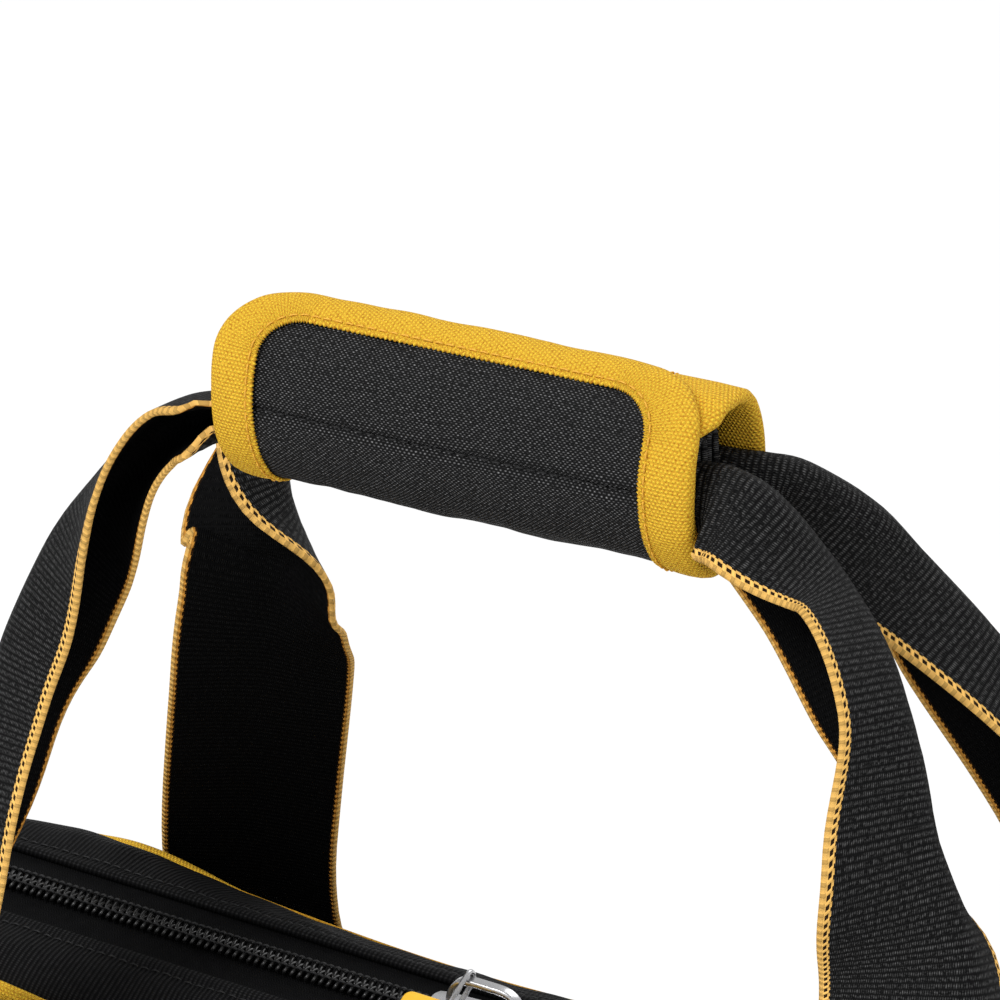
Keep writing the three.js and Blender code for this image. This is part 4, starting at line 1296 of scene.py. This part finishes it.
def wrap_stitches(name, path, outer, material, body):
    """A stitch row on the wrap. outer is the same path farther out."""
    path, outer = wrap_frame(path), wrap_frame(outer)
    facing = outer - path
    lengths = run_lengths(path)
    places, _ = even_run(path, STITCH_PITCH)
    spots = np.linspace(0, lengths[-1], len(places))
    lift = np.stack([np.interp(spots, lengths, facing[:, k]) for k in range(3)], axis=1)
    stitch_row(name, path, lift, material, body, length=2.1)


def sleeve_depth(degrees):
    """The sleeve dips inwards where the flap lies over it."""
    under = np.clip((140 - degrees) / 45, 0, 1)
    under = under * under * (3 - 2 * under)
    return FLAP_DEPTH + (SLEEVE_DEPTH - FLAP_DEPTH) * under


def sleeve_ends(degrees):
    """Left and right ends of the sleeve, drawn in where the flap covers it."""
    under = np.clip((66 - degrees) / 32, 0, 1) ** 1.3
    return SLEEVE_LEFT + 2 * under, SLEEVE_RIGHT - 8 * under


def make_sleeve():
    """The padded panel behind. It reaches out past the flap on the right."""
    degrees = np.linspace(SLEEVE_START, SLEEVE_LOW, 72)
    shares = np.linspace(0, 1, 61)
    grid = np.zeros((len(degrees), len(shares), 3))
    for i, angle in enumerate(degrees):
        left, right = sleeve_ends(angle)
        x = left + 1.2 + shares * (right - left - 2.4)
        grid[i] = wrap_oval(x, np.full_like(x, angle), sleeve_depth(angle) + 1.1)
    length = run_lengths(grid)
    grid += normals(grid) * lumps(grid, 20, 0.7, 8)[..., None]
    places = cloth_places(grid, length)
    cloth = sheet_piece("sleeve_cloth", wrap_frame(grid), SLEEVE_SHEET, CANVAS, "handle", places,
                        flip=True)
    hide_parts("wrap_sleeve")

    skin = sleeve_depth(degrees)
    for side, sign, wide in (("left", -1, BINDING_WIDTH), ("right", 1, BINDING_WIDTH + 9)):
        fold = [(wide, 0.45), (wide - 3, -0.35), (wide * 0.4, -0.4), (1.2, -0.2), (0.2, 0.5), (0, 1.2),
                (0.3, 2.1), (1.6, 2.7), (wide - 4, 2.7)]
        end = sleeve_ends(degrees)[0 if sign < 0 else 1]
        tape_grid = np.array([wrap_oval(end - sign * inset, degrees, skin + depth) for inset, depth in fold])
        places = np.stack(np.meshgrid(length, run_lengths(tape_grid)), axis=-1)[:, :, ::-1]
        tape = sheet_piece(f"sleeve_tape_{side}", wrap_frame(tape_grid), BINDING_SHEET, BINDING, "handle",
                           places, flip=sign > 0)
        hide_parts(f"sleeve_binding_{side}")
        row = end - sign * (wide - 1.5)
        path, outer = [wrap_oval(row, degrees, skin - rise) for rise in (0.7, 1.7)]
        wrap_stitches(f"sleeve_tape_stitch_{side}", path, outer, YELLOW_THREAD, "handle")


def make_grip_tapes():
    """Hook tape under the flap and loop tape on the sleeve."""
    degrees = np.linspace(48, 78, 9)
    half = WRAP_LENGTH / 2 - 12.5
    x = np.linspace(-half, half, 40)
    for name, node, depth, body in (("hook_tape", "hook_strip", 3.75, "wrap_front_flap"),
                                    ("loop_tape", "loop_strip", 4.75, "handle")):
        grid = np.array([wrap_oval(x, np.full_like(x, a), depth) for a in degrees])
        tape = sheet_piece(name, wrap_frame(grid), GRIP_TAPE_SHEET, HOOK, body, flip=True)
        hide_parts(node)


def make_grip():
    """The straps inside the wrap: two folded layers lying side by side."""
    half = WRAP_LENGTH / 2 - 1
    x = np.linspace(-half, half, 60)
    for face, sign in FACES:
        turn = np.linspace(0, math.pi, 9)
        side = np.linspace(-9.6, 8.4, 8)
        y = np.concatenate([np.full(8, 0.95), 2.6 - 1.65 * np.cos(turn), np.full(8, 4.25)])
        z = np.concatenate([side, 8.6 + 1.6 * np.sin(turn), side[::-1]])
        grid = grid_of(x[None, :], sign * y[:, None], z[:, None])
        around = run_lengths(grid)
        around = around - around[-1] / 2
        places = np.stack(np.meshgrid(x, around), axis=-1)[:, :, ::-1]
        layer = sheet_piece(f"grip_{face}", wrap_frame(grid), GRIP_SHEET, WEBBING, "handle",
                            places, flip=sign > 0)
        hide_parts(f"strap_grip_{face}")


# Feet
FOOT_INSET_X = 28
FOOT_INSET_Y = 26
FOOT_HEIGHT = 5.0


def make_feet():
    ring = np.linspace(0, 2 * math.pi, 32, endpoint=False)
    profile = [(7.4, FOOT_HEIGHT), (7.7, 4.2), (7.2, 2.0), (6.4, 0.7), (5.0, 0.08)]
    for side, sx in SIDES:
        for face, sy in FACES:
            middle = np.array([sx * (HALF_LENGTH - FOOT_INSET_X), sy * (HALF_DEPTH - FOOT_INSET_Y), 0])
            points, faces = [middle + (0, 0, FOOT_HEIGHT)], []
            for radius, z in profile:
                points += [middle + (radius * math.cos(a), radius * math.sin(a), z) for a in ring]
            points.append(middle)
            count = len(ring)
            for k in range(count):
                n = (k + 1) % count
                faces.append((0, 1 + k, 1 + n))
                for row in range(len(profile) - 1):
                    a = 1 + row * count
                    faces.append((a + k, a + count + k, a + count + n, a + n))
                last = 1 + (len(profile) - 1) * count
                faces.append((last + k, len(points) - 1, last + n))
            points = np.array(points)
            foot = mesh_piece(f"foot_{face}_{side}_moulded", points, faces, flat_places(points), RUBBER,
                              "bag")
            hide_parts(f"foot_{face}_{side}")


def dress_board():
    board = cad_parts["base_board"]
    board.data.materials.clear()
    board.data.materials.append(BOARD)


# Studio
WHITE = (1, 1, 1, 1)
FLOOR_REACH = 8.0
# Each lamp's name, place in metres, power in watts and size in metres
LAMPS = (
    ("key", (-0.55, -1.1, 1.9), 24, 0.8),
    ("fill", (1.6, -0.9, 1.0), 6, 1.2),
    ("back", (0.2, 1.4, 1.3), 8, 1.0),
)
LAMP_AIM = (0, 0, 0.3)
CAMERA_PLACE = (0.5536, -0.9821, 0.9715)
CAMERA_AIM = (-0.0398, 0.0457, 0.3667)
CAMERA_SENSOR = 36
CAMERA_LENS = 198


def make_studio():
    """White light from all round, a white floor and three soft lamps."""
    sky = Paint("studio", world=True)
    bpy.context.scene.world = sky.made
    seen = sky.node("ShaderNodeLightPath", {}, {}, "Is Camera Ray").most(
        sky.node("ShaderNodeLightPath", {}, {}, "Is Transmission Ray"))
    light = sky.node("ShaderNodeBackground", {}, {"Color": WHITE, "Strength": 0.62})
    white = sky.node("ShaderNodeBackground", {}, {"Color": WHITE, "Strength": 1.0})
    shown = sky.node("ShaderNodeMixShader", {}, {0: seen, 1: light, 2: white})
    sky.node("ShaderNodeOutputWorld", {}, {"Surface": shown})

    floor_mesh = bpy.data.meshes.new("studio_floor")
    corners = [(x * FLOOR_REACH, y * FLOOR_REACH, 0) for x, y in ((-1, -1), (1, -1), (1, 1), (-1, 1))]
    floor_mesh.from_pydata(corners, [], [(0, 1, 2, 3)])
    floor = bpy.data.objects.new("studio_floor", floor_mesh)
    bpy.context.scene.collection.objects.link(floor)
    paint = Paint("studio_floor")
    diffuse = paint.node("ShaderNodeBsdfDiffuse", {}, {"Color": (0.9, 0.9, 0.9, 1)})
    glow = paint.node("ShaderNodeEmission", {}, {"Color": WHITE, "Strength": 1.03})
    camera_ray = paint.node("ShaderNodeLightPath", {}, {})
    shader = paint.node("ShaderNodeMixShader", {}, {0: camera_ray * 0.88, 1: diffuse, 2: glow})
    paint.node("ShaderNodeOutputMaterial", {}, {"Surface": shader})
    floor_mesh.materials.append(paint.made)

    for name, place, power, size in LAMPS:
        lamp = bpy.data.lights.new(name, "AREA")
        lamp.energy = power
        lamp.size = size
        aimed(name, lamp, place, LAMP_AIM)


def aimed(name, data, place, target):
    """An object that stands at a place in metres and looks at another."""
    holder = bpy.data.objects.new(name, data)
    holder.location = place
    aim = Vector(target) - holder.location
    holder.rotation_euler = aim.to_track_quat("-Z", "Y").to_euler()
    bpy.context.scene.collection.objects.link(holder)
    return holder


def make_camera():
    camera = bpy.data.cameras.new("camera")
    camera.sensor_width = CAMERA_SENSOR
    camera.lens = CAMERA_LENS
    holder = aimed("camera", camera, CAMERA_PLACE, CAMERA_AIM)
    bpy.context.scene.camera = holder
    bpy.context.scene.view_settings.view_transform = "Standard"


make_studio()
make_camera()
make_body_shell()
make_end_panels()
make_end_bindings()
make_top_bands()
make_seam_piping()
make_zipper_tapes()
make_coil()
make_end_tabs()
for slider_side, slider_sign in SIDES:
    make_slider(slider_side, slider_sign)
    make_pull(slider_side, slider_sign)
make_pockets()
make_strap_bases()
make_legs()
make_flap()
make_sleeve()
make_grip_tapes()
make_grip()
make_feet()
dress_board()
